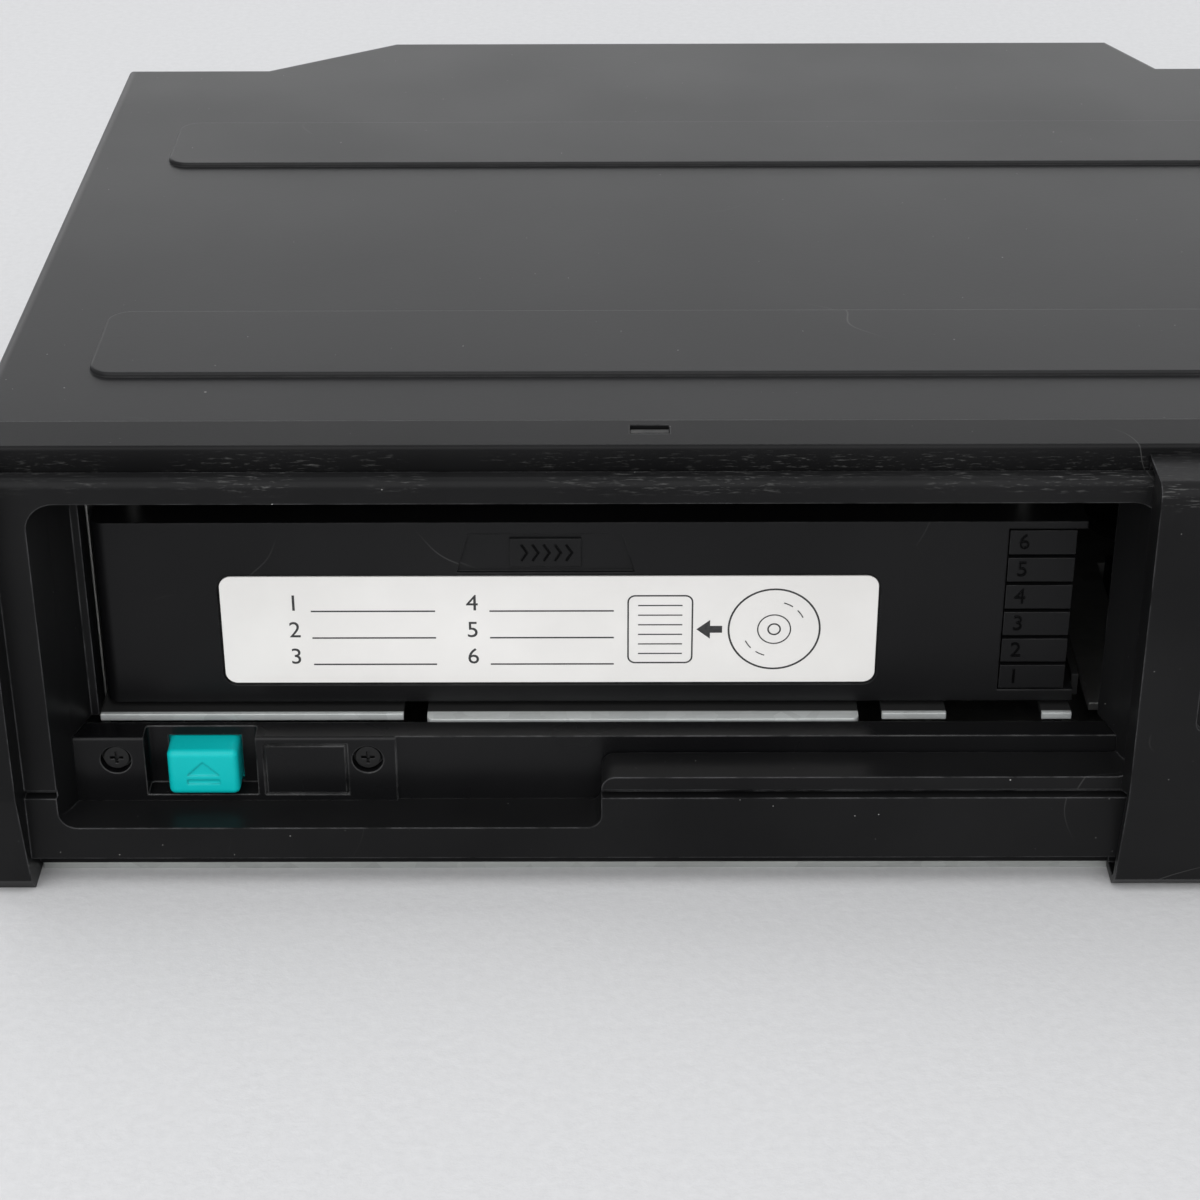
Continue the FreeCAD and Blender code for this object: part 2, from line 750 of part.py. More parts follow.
chassis_left = magazine_left - chassis_side_gap - chassis_sheet
chassis_right = half_width - chassis_right_gap
chassis_wall = chassis_right - chassis_sheet
chassis_front = bezel_back + chassis_front_gap
chassis_back = magazine_back + chassis_rear_gap + chassis_sheet
chassis_deck = chassis_floor + chassis_sheet
chassis_top = roof_under - chassis_top_gap - chassis_sheet
cam_top = chassis_top - cam_headroom

cam_outer = chassis_wall - cam_wall_gap
cam_inner = cam_outer - cam_sheet
flange_outer = cam_inner - flange_cam_gap
flange_inner = flange_outer - deck_sheet
tray_travel = flange_inner - tray_right - tray_end_gap
play_x = disc_x + tray_travel
play_y = disc_y
deck_left = magazine_right + deck_left_gap
deck_top = deck_floor + deck_sheet
post_left_x = deck_left + post_inset
post_right_x = flange_inner - post_inset
post_y = tray_back + post_behind
pin_places = (play_y - pin_reach, play_y + pin_reach)
cam_front = bezel_back + cam_front_gap
cam_travel = pin_places[0] - cam_margin - cam_front
sled_travel = disc_radius - sled_start - sled_rim


def plan(inset, front):
    """The case's outline from above, moved inwards by a distance; the front edge stays where stated."""
    side = cover_side - inset
    corner_y = side_rear - inset
    back_y = half_depth - inset
    right_length = root(rear_right_slope * rear_right_slope + rear_step * rear_step)
    left_length = root(rear_left_slope * rear_left_slope + rear_step * rear_step)
    right_shift = (right_length - rear_right_slope) / rear_step * inset
    left_shift = (left_length - rear_left_slope) / rear_step * inset
    return [(-side, front), (side, front), (side, corner_y),
            (rear_right_side - right_shift, corner_y), (rear_right_mid - right_shift, back_y),
            (left_shift - rear_left_mid, back_y), (left_shift - rear_left_side, corner_y),
            (-side, corner_y)]


# ---------------------------------------------------------------- case
def make_top_cover():
    """Pressed cover: roof, sides and stepped back, with two raised panels across the roof."""
    body = Body("cover")
    body.pad("XY", (cover_bottom, roof), plan(0, bezel_back))
    body.fillet(cover_round, lambda p: near(p.z, roof) and p.y > number(bezel_back) + test_slack
                or near(p.z, roof) and near(abs(p.x), cover_side))
    body.pocket("XY", (cover_bottom - overshoot, roof_under), plan(cover_sheet, bezel_back - overshoot))
    panel_x = cover_side - panel_margin
    for setback, length in ((front_panel_setback, front_panel_length),
                            (rear_panel_setback, rear_panel_length)):
        low = bezel_back + setback
        high = low + length
        body.pad("XY", (roof, case_height), rectangle((-panel_x, panel_x), (low, high)))
        body.fillet(panel_round, lambda p: near(abs(p.x), panel_x) and near(p.y, low, high)
                    and p.z > number(roof) - test_slack)
        body.pocket("XY", (roof_under - bite, roof_under + panel_emboss),
                    rectangle((cover_sheet - panel_x, panel_x - cover_sheet),
                              (low + cover_sheet, high - cover_sheet)))
    body.fillet(panel_edge_round, lambda p: near(p.z, case_height))
    tools = []
    for word, sign in (("left", -1), ("right", 1)):
        across = cover_side + 1
        inner = cover_side - cover_sheet - 1
        span = (inner, across) if sign > 0 else (-across, -inner)
        face = cover_side - recess_side_depth
        recess = (face, across) if sign > 0 else (-across, -face)
        pressing = Body("selector_pressing_" + word)
        pressing.pad("YZ", recess, rectangle(around(selector_back, recess_side),
                                             around(selector_height, recess_side)))
        pressing.fillet(recess_side_round,
                        lambda p: near(abs(p.y - number(selector_back)), recess_side / 2)
                        and near(abs(p.z - number(selector_height)), recess_side / 2))
        tools.append(pressing.body)
        half_slot = knob_radius + knob_clearance
        centre = (selector_back, selector_height)
        ring = cut("selector_ring_" + word,
                   rod("selector_ring_outer_" + word, "X", centre, selector_arc + half_slot, span),
                   rod("selector_ring_inner_" + word, "X", centre, selector_arc - half_slot, span))
        reach = selector_arc + half_slot + 1
        quarter = box("selector_quarter_" + word, span, (selector_back - reach, selector_back),
                      (selector_height, selector_height + reach))
        tools.append(common("selector_slot_" + word, ring, quarter))
        tools.append(rod("selector_slot_top_" + word, "X", (selector_back, selector_height + selector_arc),
                         half_slot, span))
        tools.append(rod("selector_slot_front_" + word, "X",
                         (selector_back - selector_arc, selector_height), half_slot, span))
        for end, middle in (("front", -bracket_hole_spacing / 2), ("back", bracket_hole_spacing / 2)):
            name = "bracket_slot_%s_%s" % (word, end)
            straight = (bracket_slot_length - bracket_slot_width) / 2
            tools.append(box(name, span, (middle - straight, middle + straight),
                             around(bracket_hole_height, bracket_slot_width)))
            tools.append(rod(name + "_low", "X", (middle - straight, bracket_hole_height),
                             bracket_slot_width / 2, span))
            tools.append(rod(name + "_high", "X", (middle + straight, bracket_hole_height),
                             bracket_slot_width / 2, span))
        for end, middle in cover_screw_places:
            tools.append(rod("cover_hole_%s_%s" % (word, end), "X", (middle, cover_screw_level),
                             cover_screw_radius + screw_clearance, span))
        tools.append(rod("rear_hole_" + word, "Y", (rear_screw_place * sign, cover_screw_level),
                         cover_screw_radius + screw_clearance,
                         (side_rear - cover_sheet - overshoot, side_rear + overshoot)))
    tools.append(rod("socket_hole", "Y", (-socket_place, socket_height),
                     socket_radius + socket_clearance,
                     (half_depth - cover_sheet - overshoot, half_depth + overshoot)))
    node("top_cover", cut("top_cover", body.body, *tools))


def make_base_pan():
    """Folded pan under everything; its floor runs forward under the bezel."""
    inset = cover_sheet + cover_gap
    body = Body("pan")
    front = bezel_back + cover_gap
    body.pad("XY", (0, pan_wall_height), plan(inset, front))
    body.pocket("XY", (pan_sheet, pan_wall_height + overshoot), plan(inset + pan_sheet, front + pan_sheet))
    body.pocket("XY", (pan_front_height, pan_wall_height + overshoot),
                rectangle((pan_sheet + inset - cover_side, cover_side - inset - pan_sheet),
                          (front - overshoot, front + pan_sheet + bite)))
    body.pad("XY", (0, pan_sheet), rectangle((door_end_gap - post_inner, post_inner - door_end_gap),
                                             (strip_front + cover_gap, front + pan_sheet)))
    tools = []
    reach = cover_side + 1
    for end, sign in (("front", -1), ("back", 1)):
        tools.append(rod("bracket_hole_" + end, "X",
                         (bracket_hole_spacing * sign / 2, bracket_hole_height),
                         bracket_hole_radius, (-reach, reach)))
        tools.append(rod("pan_rear_hole_" + end, "Y", (rear_screw_place * sign, cover_screw_level),
                         cover_screw_radius + screw_clearance,
                         (side_rear - inset - pan_sheet - overshoot, side_rear)))
    for end, place in cover_screw_places:
        tools.append(rod("pan_screw_hole_" + end, "X", (place, cover_screw_level),
                         cover_screw_radius + screw_clearance, (-reach, reach)))
    node("base_pan", cut("base_pan", body.body, *tools))


def make_front_bezel():
    """Moulded front: top strip with the door's groove, lip, deep mouth, band and two end posts."""
    body = Body("bezel")
    section = [(bezel_back, pan_sheet), (strip_front, pan_sheet), (strip_front, low_groove_roof),
               (band_front + band_thickness, low_groove_roof), (band_front + band_thickness, band_bottom),
               (band_front, band_bottom), (band_front, track_height),
               (front_face + track_depth, track_height),
               (front_face + track_depth, track_height + track_width),
               (front_face, track_height + track_width), (front_face, lip_top), (groove_front, lip_top),
               (groove_front, groove_floor), (strip_front, groove_floor), (strip_front, strip_top),
               (bezel_back, strip_top)]
    body.pad("YZ", (-post_inner, post_inner), section)
    post = [(bezel_back, 0), (door_front + door_heel_setback, 0),
            (door_front + door_foot_setback, door_foot_height), (door_front, door_crease),
            (door_front, door_top), (strip_front, door_top), (strip_front, strip_top),
            (bezel_back, strip_top)]
    body.pad("YZ", (-half_width, -post_inner), post)
    body.pad("YZ", (post_inner, half_width), post)
    body.pocket("XZ", (front_face + bezel_wall, bezel_back + overshoot),
                rectangle((mouth_right + jamb_draft_front + bezel_wall, post_inner - bezel_wall),
                          (low_groove_roof + bezel_wall, groove_floor - bezel_wall)))
    mouth = [(mouth_left, mouth_low), (mouth_step_x, mouth_low), (mouth_step_x, mouth_high),
             (mouth_right, mouth_high), (mouth_right, mouth_top), (mouth_left, mouth_top)]
    body.pocket("XZ", (band_front - overshoot, ledge_back), mouth)
    body.fillet(mouth_round, lambda p: (near(p.x, mouth_left) and near(p.z, mouth_low)
                                        or near(p.x, mouth_right) and near(p.z, mouth_high))
                and p.y < number(ledge_back) + test_slack)
    body.fillet(mouth_top_round, lambda p: near(p.x, mouth_left, mouth_right) and near(p.z, mouth_top)
                and p.y < number(ledge_back) + test_slack)
    body.fillet(step_round, lambda p: near(p.x, mouth_step_x) and near(p.z, mouth_low, mouth_high))
    body.pocket("XZ", (ledge_back, bezel_back + overshoot),
                rectangle((mouth_left, mouth_right), (mouth_low, mouth_top)))
    jamb_low = frame_top + frame_gap
    for side, sign in ((mouth_left, 1), (mouth_right, -1)):
        front_x = side + jamb_draft_front * sign
        back_x = front_x + jamb_draft_back * sign
        low = mouth_low if sign > 0 else mouth_high
        body.pad("XY", (low, mouth_top), [(side, front_face), (front_x, ledge_back), (side, ledge_back)])
        body.pad("XY", (jamb_low, mouth_top), [(side, ledge_back), (front_x, ledge_back),
                                               (back_x, bezel_back), (side, bezel_back)])
    body.pad("XY", (jamb_low, mouth_top + lining_gap),
             rectangle((mouth_left, magazine_left - lining_gap), (bezel_back, chassis_front - lining_gap)))
    catch_x = catch_place - half_width
    body.pocket("XY", (strip_top - catch_slot_depth, strip_top + overshoot),
                rectangle((catch_x, catch_x + catch_slot_length),
                          (strip_front + catch_setback, strip_front + catch_setback + catch_slot_width)))
    body.fillet(lip_round, lambda p: near(p.z, lip_top) and near(p.y, front_face))
    body.fillet(strip_round, lambda p: near(p.z, strip_top) and near(p.y, strip_front))
    body.fillet(door_round, lambda p: near(p.z, door_top) and near(p.y, door_front))
    node("front_bezel", body.body)
    gap = screw_clearance
    catch_y = around(strip_front + catch_setback + catch_slot_width / 2, catch_thickness)
    node("cover_catch", box("cover_catch", (catch_x + gap, catch_x + catch_slot_length - gap), catch_y,
                            (strip_top - catch_slot_depth, roof)))


def frame_x(distance):
    """A place on the slot frame, counted from the mouth's left side."""
    return mouth_left + distance


def make_slot_frame():
    """Plate across the foot of the mouth: button pocket, two countersunk screws, engraved outline."""
    left = frame_x(frame_gap)
    right = mouth_right - frame_gap
    pocket_left = frame_x(pocket_place)
    pocket_right = pocket_left + pocket_width
    seam = frame_x(frame_seam_place)
    body = Body("frame")
    body.pad("XZ", (ledge_back, frame_back), rectangle((left, right), (mouth_low, frame_top)))
    body.fillet(frame_round, lambda p: near(p.z, frame_top) and near(p.y, ledge_back))
    body.pocket("XZ", (ledge_back - overshoot, ledge_back + plate_step),
                rectangle((seam, right + overshoot), (mouth_low - overshoot, frame_top + overshoot)))
    body.pocket("XZ", (ledge_back - overshoot, ledge_back + pocket_depth),
                rectangle((pocket_left, pocket_right), (mouth_low + pocket_floor, frame_top + overshoot)))
    body.fillet(frame_round, lambda p: near(p.x, pocket_left, pocket_right)
                and near(p.y, ledge_back + pocket_depth))
    line_left = frame_x(frame_line_left)
    line_right = line_left + frame_line_length
    low = mouth_low + frame_line_margin + line_width
    high = frame_top - frame_line_margin - line_width
    body.pocket("XZ", (ledge_back - overshoot, ledge_back + line_depth),
                rectangle((line_left, line_right), (low, high)),
                rectangle((line_left + line_width, line_right - line_width),
                          (low + line_width, high - line_width)))
    button_left, button_right, button_low, button_top = button_sides()
    opening = button_clearance
    body.pocket("XZ", (ledge_back + pocket_depth - overshoot, frame_back + overshoot),
                rectangle((button_left - opening, button_right + opening),
                          (button_low - opening, button_top + opening)))
    tools = []
    for word, distance in (("left", screw_one_place), ("right", screw_two_place)):
        centre = (frame_x(distance), screw_height)
        tools.append(rod("counterbore_" + word, "Y", centre, counterbore_radius,
                         (ledge_back - overshoot, ledge_back + counterbore_depth)))
        tools.append(rod("frame_hole_" + word, "Y", centre, small_shank_radius + screw_clearance,
                         (ledge_back, frame_back + overshoot)))
    node("slot_frame", cut("slot_frame", body.body, *tools))
    screws = [screw("frame_screw_" + word, "Y", (frame_x(distance), screw_height),
                    ledge_back + counterbore_depth, -1, small_head_radius, small_head_height,
                    small_shank_radius, small_shank_length)
              for word, distance in (("left", screw_one_place), ("right", screw_two_place))]
    node("slot_frame_screws", group("slot_frame_screws", *screws))


def button_sides():
    left = frame_x(pocket_place + button_side_gap)
    low = mouth_low + pocket_floor + button_lift
    return left, left + button_width, low, low + button_height


def make_eject_button():
    """Push button with a triangle over a bar, and a flange that holds it behind the frame."""
    left, right, low, top = button_sides()
    middle_x = (left + right) / 2
    middle_z = (low + top) / 2
    front = ledge_back - button_proud
    flange_front = frame_back + button_clearance / 2
    body = Body("button")
    body.pad("XZ", (front, flange_front), rectangle((left, right), (low, top)))
    body.fillet(button_round, lambda p: near(p.x, left, right) and near(p.z, low, top)
                or near(p.y, front))
    body.pad("XZ", (flange_front, flange_front + button_flange_thickness),
             rectangle((left - button_flange, right + button_flange), (low - button_flange, top)))
    triangle_low = middle_z - symbol_bar / 2
    body.pocket("XZ", (front - bite, front + symbol_depth),
                [(middle_x - symbol_width / 2, triangle_low), (middle_x + symbol_width / 2, triangle_low),
                 (middle_x, triangle_low + symbol_height)],
                rectangle(around(middle_x, symbol_width),
                          (triangle_low - symbol_bar * 2, triangle_low - symbol_bar)))
    node("eject_button", body.body)
    plunger_front = flange_front + button_flange_thickness + button_travel + button_clearance / 2
    switch_front = plunger_front + switch_plunger
    case = box("switch_case", around(middle_x, switch_width),
               (switch_front, switch_front + switch_depth), around(middle_z, switch_height))
    plunger = rod("switch_plunger_pin", "Y", (middle_x, middle_z), rod_radius,
                  (plunger_front, switch_front))
    stand = box("switch_stand", around(middle_x, switch_width),
                (switch_front + switch_depth / 3, switch_front + switch_depth),
                (pan_sheet, middle_z))
    node("eject_switch", fuse("eject_switch", case, plunger, stand))


# ---------------------------------------------------------------- door
def make_door_front_leaf():
    """Outer leaf: hooks into the groove above and under the band below, and slides along both."""
    left = mouth_right - jamb_draft_front
    right = left + door_width
    heel = (door_front + door_heel_setback, door_ground_gap)
    foot = (door_front + door_foot_setback, door_foot_height)
    inner = door_front + door_wall
    foot_top = door_ground_gap + door_foot_wall
    top_under = door_top - door_top_wall
    section = [(hook_back, groove_floor + door_clearance), (hook_back, door_top), (door_front, door_top),
               (door_front, door_crease), foot, heel, (hook_back, door_ground_gap),
               (hook_back, low_groove_roof - door_clearance), (hook_front, low_groove_roof - door_clearance),
               (hook_front, foot_top), (door_front + door_heel_setback, foot_top),
               (door_front + door_foot_setback + door_foot_wall, door_foot_height + door_clearance),
               (inner, door_crease), (inner, top_under), (hook_front, top_under),
               (hook_front, groove_floor + door_clearance)]
    body = Body("front_leaf")
    body.pad("YZ", (left, right), section)
    body.pad("YZ", (left, left + door_wall),
             [(front_face - door_clearance, track_height + track_width), (inner - bite, door_crease),
              (inner - bite, top_under + bite), (front_face - door_clearance, top_under + bite)])
    body.fillet(door_round, lambda p: near(p.z, door_top) and near(p.y, door_front))
    grip_left = left + door_grip_place
    grip_right = grip_left + door_grip_width
    body.pocket("XZ", (door_front - overshoot, door_front + door_grip_depth),
                rectangle((grip_left, grip_right), (door_grip_low, door_grip_low + door_grip_height)))
    body.fillet(door_grip_width / 2, lambda p: near(p.x, grip_right) and p.y < number(inner)
                and near(p.z, door_grip_low, door_grip_low + door_grip_height))
    body.fillet(door_grip_small_round, lambda p: near(p.x, grip_left) and p.y < number(inner)
                and near(p.z, door_grip_low, door_grip_low + door_grip_height))
    node("door_front_leaf", body.body)


def make_door_rear_leaf():
    """Thin inner leaf: hangs in the same groove and runs with a tongue in the bezel's track."""
    left = mouth_right - jamb_draft_front + rear_leaf_place
    front = door_front + door_wall + rear_leaf_gap
    back = front + rear_leaf_sheet
    low = track_height - rear_leaf_hang
    flange_low = lip_top + rear_leaf_clearance
    flange_top = flange_low + rear_leaf_flange
    hook_rear = groove_front + door_clearance + rear_leaf_flange
    tongue_back = front_face + track_depth - tongue_clearance
    section = [(front, low), (back, low), (back, track_height + tongue_clearance),
               (tongue_back, track_height + tongue_clearance),
               (tongue_back, track_height + track_width - tongue_clearance),
               (back, track_height + track_width - tongue_clearance), (back, flange_low),
               (groove_front + door_clearance, flange_low),
               (groove_front + door_clearance, groove_floor + rear_leaf_clearance),
               (hook_rear, groove_floor + rear_leaf_clearance), (hook_rear, flange_top),
               (front, flange_top)]
    body = Body("rear_leaf")
    body.pad("YZ", (left, left + rear_leaf_width), section)
    node("door_rear_leaf", body.body)


# ---------------------------------------------------------------- magazine
def tray_low(index):
    return tray_first + tray_pitch * index


def label_box():
    left = magazine_left + label_left
    low = magazine_floor + label_low
    return (left, magazine_right - label_right), (low, magazine_top - label_top)


def make_magazine():
    """Box open on the right, with ribs that carry the trays at front and back."""
    tab_left = tray_right - tab_width
    body = Body("magazine")
    body.pad("XY", (magazine_floor, magazine_top),
             rectangle((magazine_left, magazine_right), (magazine_front, magazine_back)))
    body.fillet(magazine_round,
                lambda p: near(p.x, magazine_left) and near(p.y, magazine_front, magazine_back))
    body.pocket("XY", (magazine_floor + magazine_floor_sheet, magazine_ceiling),
                rectangle((magazine_left + magazine_wall, magazine_right + overshoot),
                          (magazine_front + magazine_wall, magazine_back - magazine_wall)))
    body.pocket("XY", (magazine_floor + magazine_floor_sheet, magazine_ceiling),
                rectangle((tab_left - tab_gap, magazine_right + overshoot),
                          (magazine_front - overshoot, magazine_front + magazine_wall + bite)))
    for inset in (runner_inset, magazine_width - runner_inset - runner_width):
        start = magazine_left + inset
        body.pad("XY", (guide_top + runner_gap, magazine_floor),
                 rectangle((start, start + runner_width),
                           (magazine_front + runner_inset, magazine_back - runner_inset)))
    label_x, label_z = label_box()
    body.pocket("XZ", (magazine_front - overshoot, magazine_front + label_recess),
                rectangle(label_x, label_z))
    body.fillet(label_round, lambda p: near(p.x, *label_x) and near(p.z, *label_z)
                and p.y < number(magazine_front + label_recess) + test_slack)
    pad_low = label_z[1] + pad_gap
    pad_x = (label_x[0] + label_x[1]) / 2 - pad_gap
    body.pocket("XZ", (magazine_front - overshoot, magazine_front + pad_recess),
                [(pad_x - pad_low_width / 2, pad_low), (pad_x + pad_low_width / 2, pad_low),
                 (pad_x + pad_top_width / 2, pad_low + pad_height),
                 (pad_x - pad_top_width / 2, pad_low + pad_height)])
    rib_left = magazine_left + magazine_wall
    for index in range(tray_count - 1):
        span = (tray_low(index) + tray_height + rib_clearance, tray_low(index + 1) - rib_clearance)
        front_rib = (magazine_front + magazine_wall - bite, magazine_front + magazine_wall + rib_depth)
        back_rib = (magazine_back - magazine_wall - rib_depth, magazine_back - magazine_wall + bite)
        body.pad("XY", span, rectangle((rib_left, tab_left - tab_gap), front_rib),
                 rectangle((rib_left, magazine_right - tab_gap), back_rib))
    node("magazine_shell", body.body)
    thin = Body("label")
    thin.pad("XZ", (magazine_front + label_recess - label_thickness, magazine_front + label_recess),
             rectangle((label_x[0] + label_margin, label_x[1] - label_margin),
                       (label_z[0] + label_margin, label_z[1] - label_margin)))
    thin.fillet(label_round - label_margin, lambda p: near(p.x, label_x[0] + label_margin,
                                                           label_x[1] - label_margin)
                and near(p.z, label_z[0] + label_margin, label_z[1] - label_margin))
    node("magazine_label", thin.body)
    plate_low = pad_low + (pad_height - plate_height) / 2
    node("magazine_push_plate",
         box("magazine_push_plate", around(pad_x, plate_width),
             (magazine_front + pad_recess - plate_proud, magazine_front + pad_recess),
             (plate_low, plate_low + plate_height)))


def make_tray(index):
    """Thin tray with a well for the disc, a window for the player and a numbered tab in front."""
    low = tray_low(index)
    top = low + tray_height
    name = "tray_%d" % (index + 1)
    body = Body(name)
    body.pad("XY", (low, top), rectangle((tray_left, tray_right), (tray_front, tray_back)))
    body.pad("XY", (low, top), rectangle((tray_right - tab_width, tray_right),
                                         (magazine_front, tray_front + bite)))
    body.pocket("XY", (low + tray_web, top + overshoot), ("circle", disc_x, disc_y, tray_well_radius))
    body.pocket("XY", (low - overshoot, low + tray_web + bite),
                ("circle", disc_x, disc_y, tray_window_radius))
    body.pocket("XY", (low - overshoot, low + tray_web + bite),
                rectangle(around(disc_x, tray_window_width),
                          (disc_y - disc_radius + runner_width, disc_y)))
    node(name, body.body)
    label = "disc_%d" % (index + 1)
    span = (low + tray_web, low + tray_web + disc_thickness)
    centre = (disc_x, disc_y)
    node(label, cut(label, rod(label + "_blank", "Z", centre, disc_radius, span),
                    rod(label + "_hole", "Z", centre, disc_hole_radius,
                        (span[0] - overshoot, span[1] + overshoot))))


# ---------------------------------------------------------------- chassis
def make_guide_plate():
    """Bright steel plate that the magazine slides on, with a tongue and a notch in its front edge."""
    left = chassis_left + chassis_sheet
    right = magazine_right - guide_front_gap
    front = bezel_back + guide_front_gap
    rear = magazine_back - guide_rear_gap
    tongue_left = frame_x(guide_tongue_left)
    tongue_right = tongue_left + guide_tongue_width
    notch_left = frame_x(guide_notch_left)
    notch_right = notch_left + guide_notch_width
    slit = front + guide_slit_depth
    tip = front - guide_tongue_out
    outline = [(left, front), (tongue_left - guide_slit, front), (tongue_left - guide_slit, slit),
               (tongue_left, slit), (tongue_left, tip), (tongue_right, tip), (tongue_right, slit),
               (tongue_right + guide_slit, slit), (tongue_right + guide_slit, front),
               (notch_left, front), (notch_left, front + guide_notch_depth),
               (notch_right, front + guide_notch_depth), (notch_right, front), (right, front),
               (right, rear), (left, rear)]
    body = Body("guide")
    body.pad("XY", (guide_top - guide_sheet, guide_top), outline)
    body.fillet(guide_sheet, lambda p: near(p.x, tongue_left, tongue_right) and near(p.y, tip))
    leg_y = (chassis_front + guide_sheet, rear)
    body.pad("XY", (chassis_deck, guide_top - guide_sheet),
             rectangle((left, left + guide_sheet), leg_y),
             rectangle((right - guide_sheet, right), leg_y))
    fence = (magazine_right + fence_gap, magazine_right + fence_gap + guide_sheet)
    body.pad("XY", (guide_top - guide_sheet, guide_top), rectangle((right - bite, fence[1]), leg_y))
    body.pad("XY", (guide_top - bite, guide_top + guide_fence), rectangle(fence, leg_y))
    node("magazine_guide_plate", body.body)


def make_chassis_frame():
    """Folded frame around the magazine and the player, open in front and above."""
    inner_left = chassis_left + chassis_sheet
    inner_back = chassis_back - chassis_sheet
    body = Body("chassis")
    body.pad("XY", (chassis_floor, chassis_top),
             rectangle((chassis_left, chassis_right), (chassis_front, chassis_back)))
    body.pocket("XY", (chassis_deck, chassis_top + overshoot),
                rectangle((inner_left, chassis_wall), (chassis_front - overshoot, inner_back)))
    body.pocket("XY", (chassis_floor - overshoot, chassis_deck + bite),
                rectangle(around((magazine_left + magazine_right) / 2, chassis_window * 2),
                          around(disc_y, chassis_window * 2)))
    slot_half = pin_radius + pin_clearance
    for pin_y in pin_places:
        body.pocket("YZ", (chassis_wall - bite, chassis_right + overshoot),
                    rectangle((pin_y - slot_half, pin_y + slot_half),
                              (pin_height - slot_half, pin_height + lift_travel + slot_half)))
    for stud_y, stud_z in stud_places():
        body.pad("YZ", (cam_inner - cam_wall_gap / 2, chassis_wall),
                 ("circle", stud_y, stud_z, stud_radius))
    node("chassis_frame", body.body)


def stud_places():
    return ((play_y - stud_one_ahead, pin_height + stud_one_rise),
            (play_y + stud_two_behind, pin_height + stud_two_rise))


def make_upper_chassis():
    """Plate across the top of the frame, with rails over the magazine and a saddle for the lift motor."""
    plate_top = chassis_top + chassis_sheet
    body = Body("upper")
    front = chassis_front + chassis_front_gap
    body.pad("XY", (chassis_top, plate_top),
             rectangle((chassis_left, chassis_right), (front, chassis_back)))
    body.pocket("XY", (chassis_top - overshoot, plate_top + overshoot),
                rectangle(around((magazine_left + magazine_right) / 2, chassis_window * 2),
                          around(disc_y, chassis_window * 2)),
                rectangle(around(play_x, chassis_window), around(disc_y, chassis_window)))
    rail_y = (front, magazine_back - runner_inset)
    for inset in (runner_inset, magazine_width - runner_inset - runner_width):
        start = magazine_left + inset
        body.pad("XY", (magazine_top + leaf_spring_gap, chassis_top),
                 rectangle((start, start + chassis_sheet), rail_y))
    motor_x, motor_y, motor_z = lift_motor_place()
    saddle = box("saddle", around(motor_x + lift_motor_length / 2, lift_saddle_width),
                 around(motor_y, lift_motor_radius), (motor_z + stud_radius, chassis_top + bite))
    hollow = rod("saddle_hollow", "X", (motor_y, motor_z), lift_motor_radius + screw_clearance,
                 (motor_x - overshoot, motor_x + lift_motor_length + overshoot))
    node("upper_chassis", fuse("upper_chassis", body.body, cut("saddle_cut", saddle, hollow)))


def make_suspension():
    """Four oil dampers, each inside a coil spring, between the pan and the chassis."""
    dampers = []
    springs = []
    for word, x in (("left", chassis_left + damper_inset), ("right", chassis_right - damper_inset)):
        for end, y in (("front", chassis_front + damper_inset), ("back", chassis_back - damper_inset)):
            name = "%s_%s" % (word, end)
            dampers.append(rod("damper_" + name, "Z", (x, y), damper_radius, (pan_sheet, chassis_floor)))
            springs.append(coil("spring_" + name, (x, y), (pan_sheet, chassis_floor), spring_radius,
                                spring_wire, spring_turns))
    node("suspension_dampers", group("suspension_dampers", *dampers))
    node("suspension_springs", group("suspension_springs", *springs))


def make_leaf_spring():
    """Bent strip behind the magazine that starts it on its way out."""
    wall = chassis_back - chassis_sheet
    nose = magazine_back + leaf_spring_gap
    foot = magazine_floor
    middle = (magazine_left + magazine_right) / 2
    sheet_thickness = leaf_spring_sheet
    rise = leaf_spring_width / 2
    outline = [(wall, foot), (wall, foot + rise), (nose + sheet_thickness, foot + rise * 2),
               (wall - sheet_thickness, foot + rise * 3), (wall - sheet_thickness * 2, foot + rise * 3),
               (nose, foot + rise * 2), (wall - sheet_thickness, foot + rise),
               (wall - sheet_thickness, foot)]
    body = Body("leaf")
    body.pad("YZ", around(middle, leaf_spring_width), outline)
    node("magazine_leaf_spring", body.body)


